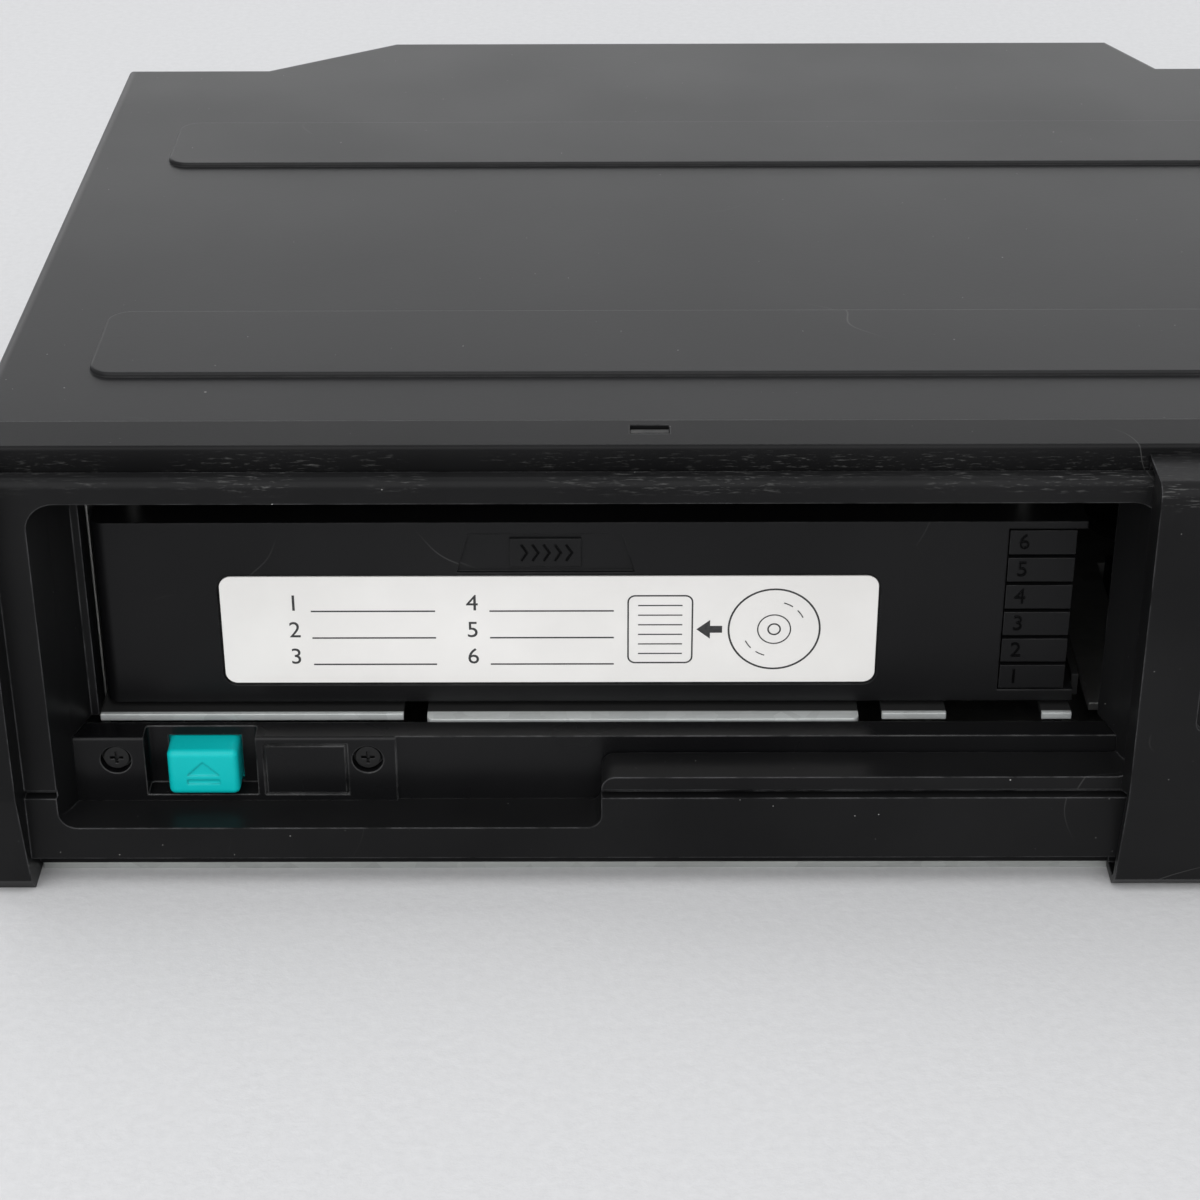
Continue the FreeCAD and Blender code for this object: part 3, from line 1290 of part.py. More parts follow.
# ---------------------------------------------------------------- lift and player
def make_lift_deck():
    """Deck that carries the player, with guide bosses behind and cam pins on its right flange."""
    body = Body("deck")
    front = bezel_back + deck_front_gap
    slot_side = sled_width / 2 + sled_gap
    sled_front = play_y - sled_start - sled_length / 2 - sled_travel - sled_gap
    sled_back = play_y - sled_start + sled_length / 2 + sled_gap
    flange_bottom = deck_floor - flange_low
    tab = boss_radius + sled_gap
    body.pad("XY", (deck_floor, deck_top), rectangle((deck_left, flange_outer), (front, post_y - tab)))
    body.pad("XY", (deck_floor, deck_top),
             rectangle((post_left_x - tab, post_left_x + tab), (post_y - tab - bite, post_y)),
             rectangle((post_right_x - tab, post_right_x + tab), (post_y - tab - bite, post_y)))
    flange_half = pin_reach + pin_radius * 3
    body.pad("XY", (flange_bottom, flange_bottom + flange_height),
             rectangle((flange_inner, flange_outer), around(play_y, flange_half * 2)))
    body.pocket("XY", (deck_floor - overshoot, deck_top + overshoot),
                rectangle((play_x - slot_side, play_x + slot_side), (sled_front, sled_back)))
    motor_x = play_x + screw_offset
    motor_front = sled_back + block_depth
    body.pocket("XY", (deck_floor - overshoot, deck_top + overshoot),
                rectangle(around(motor_x, (sled_motor_radius + sled_gap) * 2),
                          (motor_front, motor_front + sled_motor_length + sled_gap)))
    body.pocket("XY", (deck_floor - overshoot, deck_top + overshoot),
                ("circle", play_x, play_y, deck_shaft_hole))
    slot_front = tray_back - puller_inset - puller_slot / 2
    body.pocket("XY", (deck_floor - overshoot, deck_top + overshoot),
                rectangle((deck_left + puller_side,
                           deck_left + puller_side * 2 + puller_width + puller_travel),
                          (slot_front, slot_front + puller_slot)))
    rod_low = rod_height - rod_radius - rod_radius
    block_right = motor_x + sled_motor_radius
    for start, stop in ((sled_front - block_depth, sled_front), (sled_back, sled_back + block_depth)):
        body.pad("XY", (rod_low, deck_floor + bite),
                 rectangle((play_x - slot_side, block_right), (start, stop)))
    bosses = []
    holes = []
    for word, x in (("left", post_left_x), ("right", post_right_x)):
        boss_low = deck_floor - post_radius
        bosses.append(rod("deck_boss_" + word, "Z", (x, post_y), boss_radius,
                          (boss_low, boss_low + boss_height)))
        holes.append(rod("deck_bush_" + word, "Z", (x, post_y), post_radius + post_clearance,
                         (boss_low - overshoot, boss_low + boss_height + overshoot)))
    pins = [rod("cam_pin_%d" % index, "X", (y, pin_height), pin_radius,
                (flange_outer - bite, chassis_right + pin_clearance))
            for index, y in enumerate(pin_places)]
    rod_span = (sled_front - block_depth - overshoot, sled_back + block_depth + overshoot)
    for word, x in rod_places():
        holes.append(rod("rod_hole_" + word, "Y", (x, rod_height), rod_radius + screw_clearance, rod_span))
    holes.append(rod("feed_hole", "Y", (motor_x, rod_height), feed_screw_radius + rod_clearance, rod_span))
    solid = fuse("deck_solid", body.body, *(bosses + pins))
    node("lift_deck", cut("lift_deck", solid, *holes))
    rods = [rod("pickup_rod_" + word, "Y", (x, rod_height), rod_radius,
                (sled_front - block_depth, sled_back + block_depth)) for word, x in rod_places()]
    node("pickup_guide_rods", group("pickup_guide_rods", *rods))
    make_feed_drive(motor_x, motor_front, sled_front - block_depth)
    make_sled(motor_x)
    make_puller(slot_front + puller_slot / 2)


def rod_places():
    reach = sled_width / 2 - rod_inset
    return (("left", play_x - reach), ("right", play_x + reach))


def make_feed_drive(x, motor_front, screw_front):
    """Feed screw with its thread as rings, and the motor that turns it."""
    core = feed_screw_radius - thread_depth
    length = motor_front + thread_pitch - screw_front
    turns = int(number(length) / number(thread_pitch)) - 1
    profile = [(0, screw_front)]
    for turn in range(turns):
        foot = screw_front + thread_pitch * turn
        profile += [(core, foot), (core, foot + thread_pitch / 2),
                    (feed_screw_radius, foot + thread_pitch / 2 + thread_depth),
                    (feed_screw_radius, foot + thread_pitch - thread_depth)]
    profile += [(core, screw_front + thread_pitch * turns), (core, screw_front + length),
                (0, screw_front + length)]
    screw_body = Body("feed")
    screw_body.revolve("XY", (x, 0), rod_height, profile)
    node("feed_screw", screw_body.body)
    can = rod("sled_motor_can", "Y", (x, rod_height), sled_motor_radius,
              (motor_front, motor_front + sled_motor_length))
    hollow = rod("sled_motor_bush", "Y", (x, rod_height), core + rod_clearance,
                 (motor_front - overshoot, motor_front + thread_pitch + rod_clearance))
    node("sled_motor", cut("sled_motor", can, hollow))


def make_sled(screw_x):
    """Sled on two rods with the lens in the middle, driven by a nut on the feed screw."""
    y = around(play_y - sled_start, sled_length)
    block = box("sled_block", around(play_x, sled_width), y, (sled_low, sled_top))
    nut = box("sled_nut", (play_x + sled_width / 2 - bite, screw_x + feed_screw_radius * 2), y,
              (sled_low, deck_floor - sled_gap / 2))
    reach = (y[0] - overshoot, y[1] + overshoot)
    holes = [rod("sled_hole_" + word, "Y", (x, rod_height), rod_radius + rod_clearance, reach)
             for word, x in rod_places()]
    holes.append(rod("nut_hole", "Y", (screw_x, rod_height), feed_screw_radius + rod_clearance, reach))
    node("pickup_sled", cut("pickup_sled", fuse("sled_solid", block, nut), *holes))
    node("pickup_lens", rod("pickup_lens", "Z", (play_x, play_y - sled_start), lens_radius,
                            (sled_top, sled_top + lens_proud)))


def make_puller(y):
    """Puller that draws a tray out, running in the deck's slot on a T-shaped foot."""
    left = deck_left + puller_side
    low = deck_top + puller_clearance
    block_x = (left, left + puller_width)
    stem_y = (y - puller_slot / 2 + puller_clearance, y + puller_slot / 2 - puller_clearance)
    top = box("puller_top", block_x, around(y, puller_depth), (low, low + puller_height))
    relief = box("puller_relief", (left + cam_sheet, left + puller_width + overshoot),
                 around(y, puller_depth + overshoot),
                 (low + puller_height / 2, low + puller_height + overshoot))
    stem = box("puller_stem", block_x, stem_y, (deck_floor - puller_clearance - bite, low + bite))
    foot = box("puller_foot", block_x, around(y, puller_slot * 2),
               (deck_floor - puller_clearance - cam_sheet, deck_floor - puller_clearance))
    node("tray_puller", fuse("tray_puller", cut("puller_head", top, relief), stem, foot))


def make_turntable():
    """Spindle motor under the deck and the turntable with its centring hub above."""
    centre = (play_x, play_y)
    low = deck_top + turntable_gap
    top = low + turntable_sheet
    hub_radius = disc_hole_radius - hub_clearance
    motor_low = deck_floor - motor_height
    profile = [(0, motor_low + shaft_radius), (shaft_radius, motor_low + shaft_radius),
               (shaft_radius, low), (turntable_radius, low), (turntable_radius, top),
               (hub_radius, top), (hub_radius, top + hub_height - hub_taper),
               (hub_radius - hub_taper, top + hub_height), (0, top + hub_height)]
    body = Body("platter")
    body.revolve("XZ", (play_x, 0), -play_y, profile)
    node("turntable", body.body)
    can = rod("spindle_can", "Z", centre, motor_radius, (motor_low, deck_floor))
    hollow = rod("spindle_bush", "Z", centre, shaft_radius + shaft_clearance,
                 (motor_low + shaft_radius - shaft_clearance, deck_floor + overshoot))
    node("spindle_motor", cut("spindle_motor", can, hollow))


def make_clamp():
    """Clamp arm on the lift's posts and the puck that presses the disc on the turntable."""
    arm_low = clamp_low + puck_thickness + clamp_arm_gap
    arm_top = arm_low + clamp_sheet
    hole = puck_neck + puck_clearance
    arm = box("clamp_plate", around(play_x, clamp_arm_width),
              (play_y - clamp_arm_width / 2, post_y), (arm_low, arm_top))
    bar = box("clamp_bar", (post_left_x, post_right_x), around(post_y, boss_radius), (arm_low, arm_top))
    bosses = []
    holes = [rod("puck_hole", "Z", (play_x, play_y), hole, (arm_low - overshoot, arm_top + overshoot))]
    for word, x in (("left", post_left_x), ("right", post_right_x)):
        boss_low = arm_low - post_radius
        bosses.append(rod("clamp_boss_" + word, "Z", (x, post_y), boss_radius,
                          (boss_low, boss_low + boss_height)))
        holes.append(rod("clamp_bush_" + word, "Z", (x, post_y), post_radius + post_clearance,
                         (boss_low - overshoot, boss_low + boss_height + overshoot)))
    node("clamp_arm", cut("clamp_arm", fuse("clamp_solid", arm, bar, *bosses), *holes))
    cap_low = arm_top + puck_clearance
    profile = [(0, clamp_low), (puck_radius, clamp_low), (puck_radius, clamp_low + puck_thickness),
               (puck_neck, clamp_low + puck_thickness), (puck_neck, cap_low), (puck_cap, cap_low),
               (puck_cap, cap_low + puck_cap_sheet), (0, cap_low + puck_cap_sheet)]
    body = Body("puck")
    body.revolve("XZ", (play_x, 0), -play_y, profile)
    node("clamp_puck", body.body)


def make_lift_drive():
    """Cam plate with two sloping slots, its pinion and motor, and the two posts of the lift."""
    half = pin_radius + pin_clearance
    cam_y = (cam_front, pin_places[1] + cam_margin)
    plate = box("cam_plate", (cam_inner, cam_outer), cam_y,
                (pin_height - half - cam_margin, cam_top))
    reach = (cam_inner - overshoot, cam_outer + overshoot)
    slope = lift_travel / cam_travel
    length = root(lift_travel * lift_travel + cam_travel * cam_travel)
    rise = half * cam_travel / length
    lean = half * lift_travel / length
    tools = []
    for index, pin_y in enumerate(pin_places):
        far_y = pin_y - cam_travel
        far_z = pin_height + cam_travel * slope
        slot = Body("cam_slot_%d" % index)
        slot.pad("YZ", reach, [(pin_y + lean, pin_height + rise), (pin_y - lean, pin_height - rise),
                               (far_y - lean, far_z - rise), (far_y + lean, far_z + rise)])
        tools.append(slot.body)
        tools.append(rod("cam_slot_low_%d" % index, "X", (pin_y, pin_height), half, reach))
        tools.append(rod("cam_slot_high_%d" % index, "X", (far_y, far_z), half, reach))
    for index, (stud_y, stud_z) in enumerate(stud_places()):
        width = (stud_radius + pin_clearance) * 2
        tools.append(box("stud_slot_%d" % index, reach, (stud_y - cam_travel, stud_y),
                         around(stud_z, width)))
        tools.append(rod("stud_slot_start_%d" % index, "X", (stud_y, stud_z), width / 2, reach))
        tools.append(rod("stud_slot_stop_%d" % index, "X", (stud_y - cam_travel, stud_z),
                         width / 2, reach))
    node("cam_plate", cut("cam_plate", plate, *tools))
    motor_x, motor_y, motor_z = lift_motor_place()
    motor_end = motor_x + lift_motor_length
    axis = (motor_y, motor_z)
    can = rod("lift_can", "X", axis, lift_motor_radius, (motor_x, motor_end))
    bush = rod("lift_bush", "X", axis, shaft_radius + shaft_clearance,
               (motor_end - lift_motor_radius, motor_end + overshoot))
    node("lift_motor", cut("lift_motor", can, bush))
    shaft = rod("pinion_shaft", "X", axis, shaft_radius,
                (motor_end - lift_motor_radius + shaft_clearance, cam_inner + bite))
    wheel = rod("pinion_wheel", "X", axis, lift_pinion_radius, (cam_inner, cam_outer))
    marks = [rod("pinion_mark_%d" % index, "X",
                 (motor_y + lift_pinion_radius * math.cos(index * math.pi / 2) / 2,
                  motor_z + lift_pinion_radius * math.sin(index * math.pi / 2) / 2),
                 shaft_radius, (cam_inner - overshoot, cam_outer + overshoot)) for index in range(4)]
    node("lift_pinion", cut("lift_pinion", fuse("pinion_solid", shaft, wheel), *marks))
    posts = [rod("lift_post_" + word, "Z", (x, post_y), post_radius, (chassis_deck, chassis_top))
             for word, x in (("left", post_left_x), ("right", post_right_x))]
    node("lift_guide_posts", group("lift_guide_posts", *posts))


def lift_motor_place():
    """Left end and axis of the lift motor; its pinion rolls on the cam plate's top edge."""
    return (flange_inner - lift_motor_length, play_y + lift_motor_behind,
            cam_top + lift_pinion_clearance + lift_pinion_radius)


# ---------------------------------------------------------------- selectors, electronics and screws
def make_selectors():
    """Angle selectors: a disc with a knob behind each side of the cover, on a bracket in the pan."""
    centre = (selector_back, selector_height)
    outer = cover_side - cover_sheet - selector_gap
    inner = outer - selector_sheet
    plate_outer = inner - bracket_gap
    plate_inner = plate_outer - bracket_sheet
    stud_end = outer - screw_clearance
    brackets = []
    for word, sign in (("left", -1), ("right", 1)):
        def span(low, high):
            return (low, high) if sign > 0 else (-high, -low)
        plate = box("bracket_plate_" + word, span(plate_inner, plate_outer),
                    around(selector_back, bracket_width),
                    (pan_sheet, selector_height + selector_arc / 2))
        stud = rod("bracket_stud_" + word, "X", centre, post_radius, span(plate_inner, stud_end))
        brackets.append(fuse("bracket_" + word, plate, stud))
        disc = rod("selector_disc_" + word, "X", centre, selector_disc, span(inner, outer))
        knob = rod("selector_knob_" + word, "X", (selector_back, selector_height + selector_arc),
                   knob_radius, span(outer - bite, outer + knob_length))
        bush = rod("selector_bush_" + word, "X", centre, post_radius + post_clearance,
                   span(inner - overshoot, outer + overshoot))
        label = "angle_selector_" + word
        node(label, cut(label, fuse(label + "_solid", disc, knob), bush))
    node("selector_brackets", group("selector_brackets", *brackets))


def make_electronics():
    """Main board on standoffs in the stepped back, with its parts and the round output socket."""
    back = half_depth - cover_sheet - cover_gap - pan_sheet - board_rear_gap
    front = back - board_depth
    x = (board_side_gap - rear_left_mid, rear_right_mid - board_side_gap)
    top = board_low + board_sheet
    node("main_circuit_board", box("main_circuit_board", x, (front, back), (board_low, top)))
    corners = [(corner_x, corner_y) for corner_x in (x[0] + standoff_inset, x[1] - standoff_inset)
               for corner_y in (front + standoff_inset, back - standoff_inset)]
    standoffs = [rod("standoff_%d" % index, "Z", corner, standoff_radius, (pan_sheet, board_low))
                 for index, corner in enumerate(corners)]
    node("board_standoffs", group("board_standoffs", *standoffs))
    middle = (front + back) / 2
    parts = []
    for index, (place, length, width, height) in enumerate(
            ((x[0] + 16.0, 14.0, 10.0, 2.2), (x[0] + 34.0, 9.0, 9.0, 1.8), (x[1] - 22.0, 10.0, 8.0, 2.0))):
        parts.append(box("chip_%d" % index, around(place, length), around(middle, width),
                         (top, top + height)))
    for index, place in enumerate((x[0] + 26.0, x[1] - 34.0, x[1] - 12.0)):
        parts.append(rod("capacitor_%d" % index, "Z", (place, middle), standoff_radius,
                         (top, top + 7.0)))
    node("board_components", group("board_components", *parts))
    outer = half_depth - socket_flush
    inner = outer - socket_length
    centre = (-socket_place, socket_height)
    shell = rod("socket_shell", "Y", centre, socket_radius, (inner, outer))
    bore = rod("socket_bore", "Y", centre, socket_bore, (inner + socket_floor, outer + overshoot))
    leg = box("socket_leg", around(-socket_place, socket_bore * 2), (inner, inner + socket_floor),
              (top, socket_height))
    node("output_socket", cut("output_socket", fuse("socket_solid", shell, leg), bore))
    floor = inner + socket_floor
    contacts = [rod("contact_centre", "Y", centre, contact_radius, (floor, floor + contact_length))]
    for index in range(contact_count):
        turn = 2 * math.pi * index / contact_count
        spot = (centre[0] + contact_ring * math.cos(turn), centre[1] + contact_ring * math.sin(turn))
        contacts.append(rod("contact_%d" % index, "Y", spot, contact_radius,
                            (floor, floor + contact_length)))
    node("socket_contacts", group("socket_contacts", *contacts))


def make_cover_screws():
    screws = []
    for word, sign in (("left", -1), ("right", 1)):
        for end, y in cover_screw_places:
            screws.append(screw("cover_screw_%s_%s" % (word, end), "X", (y, cover_screw_level),
                                cover_side * sign, sign, cover_screw_head, cover_screw_height,
                                cover_screw_radius, cover_screw_length))
        screws.append(screw("cover_screw_rear_" + word, "Y", (rear_screw_place * sign, cover_screw_level),
                            side_rear, 1, cover_screw_head, cover_screw_height,
                            cover_screw_radius, cover_screw_length))
    node("cover_screws", group("cover_screws", *screws))


def check_document():
    """Stop on any feature that failed and on any sub-part without a valid solid."""
    failed = [item.Name for item in doc.Objects if {"Invalid", "Error"} & set(item.State)]
    if failed:
        raise RuntimeError("failed features: " + ", ".join(failed))
    for label, item in nodes.items():
        shape = item.Shape
        if shape.isNull() or not shape.isValid() or not shape.Solids:
            raise RuntimeError("sub-part %s has no valid solid" % label)


make_top_cover()
make_base_pan()
make_front_bezel()
make_slot_frame()
make_eject_button()
make_door_front_leaf()
make_door_rear_leaf()
make_magazine()
for tray_index in range(tray_count):
    make_tray(tray_index)
make_guide_plate()
make_chassis_frame()
make_upper_chassis()
make_suspension()
make_leaf_spring()
make_lift_deck()
make_turntable()
make_clamp()
make_lift_drive()
make_selectors()
make_electronics()
make_cover_screws()
doc.recompute()
check_document()
os.makedirs("parts", exist_ok=True)
for label, item in nodes.items():
    item.Shape.exportStep("parts/%s.step" % label)
print("%d sub-parts" % len(nodes))
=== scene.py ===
"""Looks of a six-disc car changer: its finishes, tray numbers, printed label and stage."""

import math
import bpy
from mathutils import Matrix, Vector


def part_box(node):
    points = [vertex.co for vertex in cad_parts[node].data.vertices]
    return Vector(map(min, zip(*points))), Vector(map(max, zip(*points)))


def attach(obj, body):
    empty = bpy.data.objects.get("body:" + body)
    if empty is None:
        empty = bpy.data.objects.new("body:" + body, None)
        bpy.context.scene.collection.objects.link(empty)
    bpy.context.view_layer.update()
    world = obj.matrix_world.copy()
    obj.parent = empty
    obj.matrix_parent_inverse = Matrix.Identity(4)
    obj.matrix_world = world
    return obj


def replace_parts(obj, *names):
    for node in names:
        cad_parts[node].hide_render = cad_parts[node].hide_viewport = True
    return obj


bl_info = {
    "name": "Car disc changer",
    "version": (1, 0, 0),
    "blender": (4, 5, 0),
    "location": "View3D > Sidebar > Disc Changer",
    "description": "Finishes, print and stage for a car disc changer with a magazine of six trays",
    "category": "Object",
}

import bmesh
import bpy
import numpy as np
from bpy.props import FloatProperty, FloatVectorProperty, PointerProperty
from mathutils import Matrix, Vector

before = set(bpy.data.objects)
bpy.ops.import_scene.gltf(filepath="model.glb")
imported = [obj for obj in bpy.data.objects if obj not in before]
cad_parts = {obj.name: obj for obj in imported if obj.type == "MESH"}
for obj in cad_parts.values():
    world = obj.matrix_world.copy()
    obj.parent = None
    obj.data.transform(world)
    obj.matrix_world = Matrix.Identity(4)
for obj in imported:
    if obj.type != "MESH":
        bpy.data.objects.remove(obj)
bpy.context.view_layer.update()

MM = 0.001
TRAYS = range(1, 7)

# A digit's height as a share of its type size
DIGIT_SHARE = 0.70

# Camera: place in metres, then yaw, pitch and roll in degrees, and the shift of its frame
CAMERA_PLACE = (-0.0416, -0.4098, 0.2284)
CAMERA_TURN = (0.265, 60.0, -0.238)
CAMERA_SHIFT = (0.0061, 0.0325)
SENSOR_WIDTH = 36.0
NEAR_LIMIT = 0.01

# How strongly the dull paint and plastics mirror; 0.5 would be a usual plastic
DULL = 0.18
DULL_FRONT = 0.08
DULL_PAINT = 0.15
DULL_NUMBER = 0.05
SATIN_SCREW = 0.35

# Grain of the moulded surfaces: waves to a metre, and depth
FINE_GRAIN = 2600.0
TRAY_GRAIN = 3000.0
SATIN_DEPTH = 0.010 * MM
SMOOTH_DEPTH = 0.008 * MM
POLISHED_DEPTH = 0.006 * MM

# Heights and places that finishes look at
GROOVE_LEVEL = 64.4 * MM
GROOVE_WORN = 1.0 * MM
GROOVE_CLEAN = 2.4 * MM
# The guide plate is painted in shade up the fence above its foot, and behind a lit strip along the front lip
FENCE_FOOT = 21.1 * MM
LIT_LIP_STRIP = 2.0 * MM
SHADE_BLEND = 0.3 * MM

# Radii of a disc: end of its hub, then start and end of its mirrored band
DISC_HUB = 21.5 * MM
DISC_BAND = (23.5 * MM, 58.6 * MM)
DISC_PLAYED = 52.0 * MM
DISC_TRACKS = 52000.0

# Which finish each node of the frame takes
FINISH_OF = {
    "cover_paint": ["top_cover"],
    "front_plastic": ["front_bezel", "door_front_leaf", "door_rear_leaf"],
    "pocket_plastic": ["slot_frame"],
    "magazine_plastic": ["magazine_shell", "magazine_push_plate"],
    "tray_plastic": ["tray_%d" % number for number in TRAYS],
    "label_paper": ["magazine_label"],
    "button_plastic": ["eject_button"],
    "zinc_plate": ["base_pan", "magazine_leaf_spring", "lift_guide_posts", "pickup_guide_rods"],
    "guide_zinc": ["magazine_guide_plate"],
    "dark_plate": ["cover_catch"],
    "chassis_plate": ["chassis_frame", "upper_chassis", "selector_brackets", "lift_deck", "cam_plate",
                      "clamp_arm"],
    "black_screw": ["slot_frame_screws", "cover_screws"],
    "damper_rubber": ["suspension_dampers"],
    "board_mask": ["main_circuit_board"],
    "moulded_black": ["board_components", "output_socket", "eject_switch", "turntable", "pickup_sled"],
    "motor_can": ["lift_motor", "spindle_motor", "sled_motor"],
    "natural_acetal": ["board_standoffs", "tray_puller", "lift_pinion", "clamp_puck",
                       "angle_selector_left", "angle_selector_right"],
    "lens_glass": ["pickup_lens"],
    "gold_contact": ["socket_contacts"],
    "disc_layers": ["disc_%d" % number for number in TRAYS],
}


# ---------------------------------------------------------------- settings
def colour_setting(name, description, value):
    return FloatVectorProperty(name=name, description=description, subtype="COLOR", size=3, min=0.0,
                               max=1.0, default=value)


def length_setting(name, description, value):
    return FloatProperty(name=name, description=description, subtype="DISTANCE", unit="LENGTH", min=0.0,
                         precision=5, default=value)


def share_setting(name, description, value):
    return FloatProperty(name=name, description=description, subtype="FACTOR", min=0.0, max=1.0,
                         default=value)


class ChangerFinish(bpy.types.PropertyGroup):
    cover: colour_setting("Cover", "Satin paint of the top cover", (0.0105, 0.0105, 0.0110))
    front: colour_setting("Front", "Plastic of the front and the door", (0.0066, 0.0066, 0.0069))
    magazine: colour_setting("Magazine", "Plastic of the magazine", (0.0036, 0.0036, 0.0040))
    tray: colour_setting("Trays", "Plastic of the six trays", (0.0042, 0.0042, 0.0046))
    label: colour_setting("Label", "Paper of the label", (0.84, 0.825, 0.80))
    button: colour_setting("Button", "Plastic of the eject button", (0.002, 0.46, 0.46))
    dust: share_setting("Dust", "How many specks of dust lie on the front and the cover", 0.75)
    scratches: share_setting("Scratches", "How strongly hair scratches show", 0.35)


class ChangerPrint(bpy.types.PropertyGroup):
    line: length_setting("Line", "Width of the printed lines", 0.22 * MM)
    ink: length_setting("Ink", "Thickness of the print", 0.03 * MM)
    digit: length_setting("Tray digit", "Height of the numbers on the trays", 2.3 * MM)
    relief: length_setting("Relief", "How far the numbers stand out of the trays", 0.16 * MM)


class ChangerStage(bpy.types.PropertyGroup):
    floor: colour_setting("Floor", "Colour of the floor and backdrop", (0.66, 0.66, 0.665))
    lens: FloatProperty(name="Lens", description="Focal length of the camera", unit="CAMERA", default=83.69)
    front: FloatProperty(name="Front lamp", description="Power of the wide soft lamp in front", unit="POWER",
                         default=36.0)
    above: FloatProperty(name="Upper lamp", description="Power of the wide soft lamp above", unit="POWER",
                         default=7.5)
    behind: FloatProperty(name="Rear lamp", description="Power of the low lamp mirrored in the cover",
                          unit="POWER", default=6.4)
    fill: FloatProperty(name="Fill", description="Strength of the sky on the object", default=0.93)


# ---------------------------------------------------------------- wiring of shader nodes
class Wiring:
    """Adds nodes to a tree; a value that is a socket is linked, any other is set."""

    def __init__(self, tree):
        self.tree = tree

    def node(self, kind, inputs=(), **settings):
        made = self.tree.nodes.new(kind)
        for key, value in settings.items():
            setattr(made, key, value)
        for key, value in dict(inputs).items():
            self.feed(made.inputs[key], value)
        return made

    def feed(self, socket, value):
        if isinstance(value, bpy.types.NodeSocket):
            self.tree.links.new(value, socket)
        else:
            socket.default_value = value

    def sum(self, operation, *values):
        return self.node("ShaderNodeMath", list(enumerate(values)), operation=operation).outputs[0]

    def vector(self, operation, *values):
        made = self.node("ShaderNodeVectorMath", list(enumerate(values)), operation=operation)
        return made.outputs["Value" if operation in ("DOT_PRODUCT", "LENGTH", "DISTANCE") else "Vector"]

    def scaled(self, value, share):
        made = self.node("ShaderNodeVectorMath", {"Scale": share}, operation="SCALE")
        self.feed(made.inputs[0], value)
        return made.outputs["Vector"]

    def remap(self, value, low, high, to_low=0.0, to_high=1.0):
        return self.node("ShaderNodeMapRange", {"Value": value, "From Min": low, "From Max": high,
                                                "To Min": to_low, "To Max": to_high}).outputs["Result"]

    def noise(self, place, scale, detail=2.0, roughness=0.5):
        return self.node("ShaderNodeTexNoise", {"Vector": place, "Scale": scale, "Detail": detail,
                                                "Roughness": roughness}).outputs["Fac"]

    def cells(self, place, scale, feature="F1"):
        return self.node("ShaderNodeTexVoronoi", {"Vector": place, "Scale": scale}, feature=feature)

    def mix(self, share, first, second):
        made = self.node("ShaderNodeMix", data_type="RGBA")
        self.feed(made.inputs["Factor"], share)
        self.feed(made.inputs[6], first)
        self.feed(made.inputs[7], second)
        return made.outputs[2]

    def stretched(self, place, scale):
        return self.node("ShaderNodeMapping", {"Vector": place, "Scale": scale}).outputs["Vector"]


def rgba(colour):
    return tuple(colour) + (1.0,) if len(colour) == 3 else tuple(colour)


def new_group(name, inputs, outputs):
    """An empty node group with these sockets; each is a name, a kind and a starting value."""
    tree = bpy.data.node_groups.new(name, "ShaderNodeTree")
    for label, kind, value in inputs:
        socket = tree.interface.new_socket(label, in_out="INPUT", socket_type="NodeSocket" + kind)
        if value is not None:
            socket.default_value = value
    for label, kind in outputs:
        tree.interface.new_socket(label, in_out="OUTPUT", socket_type="NodeSocket" + kind)
    wires = Wiring(tree)
    return tree, wires, wires.node("NodeGroupInput").outputs, wires.node("NodeGroupOutput").inputs


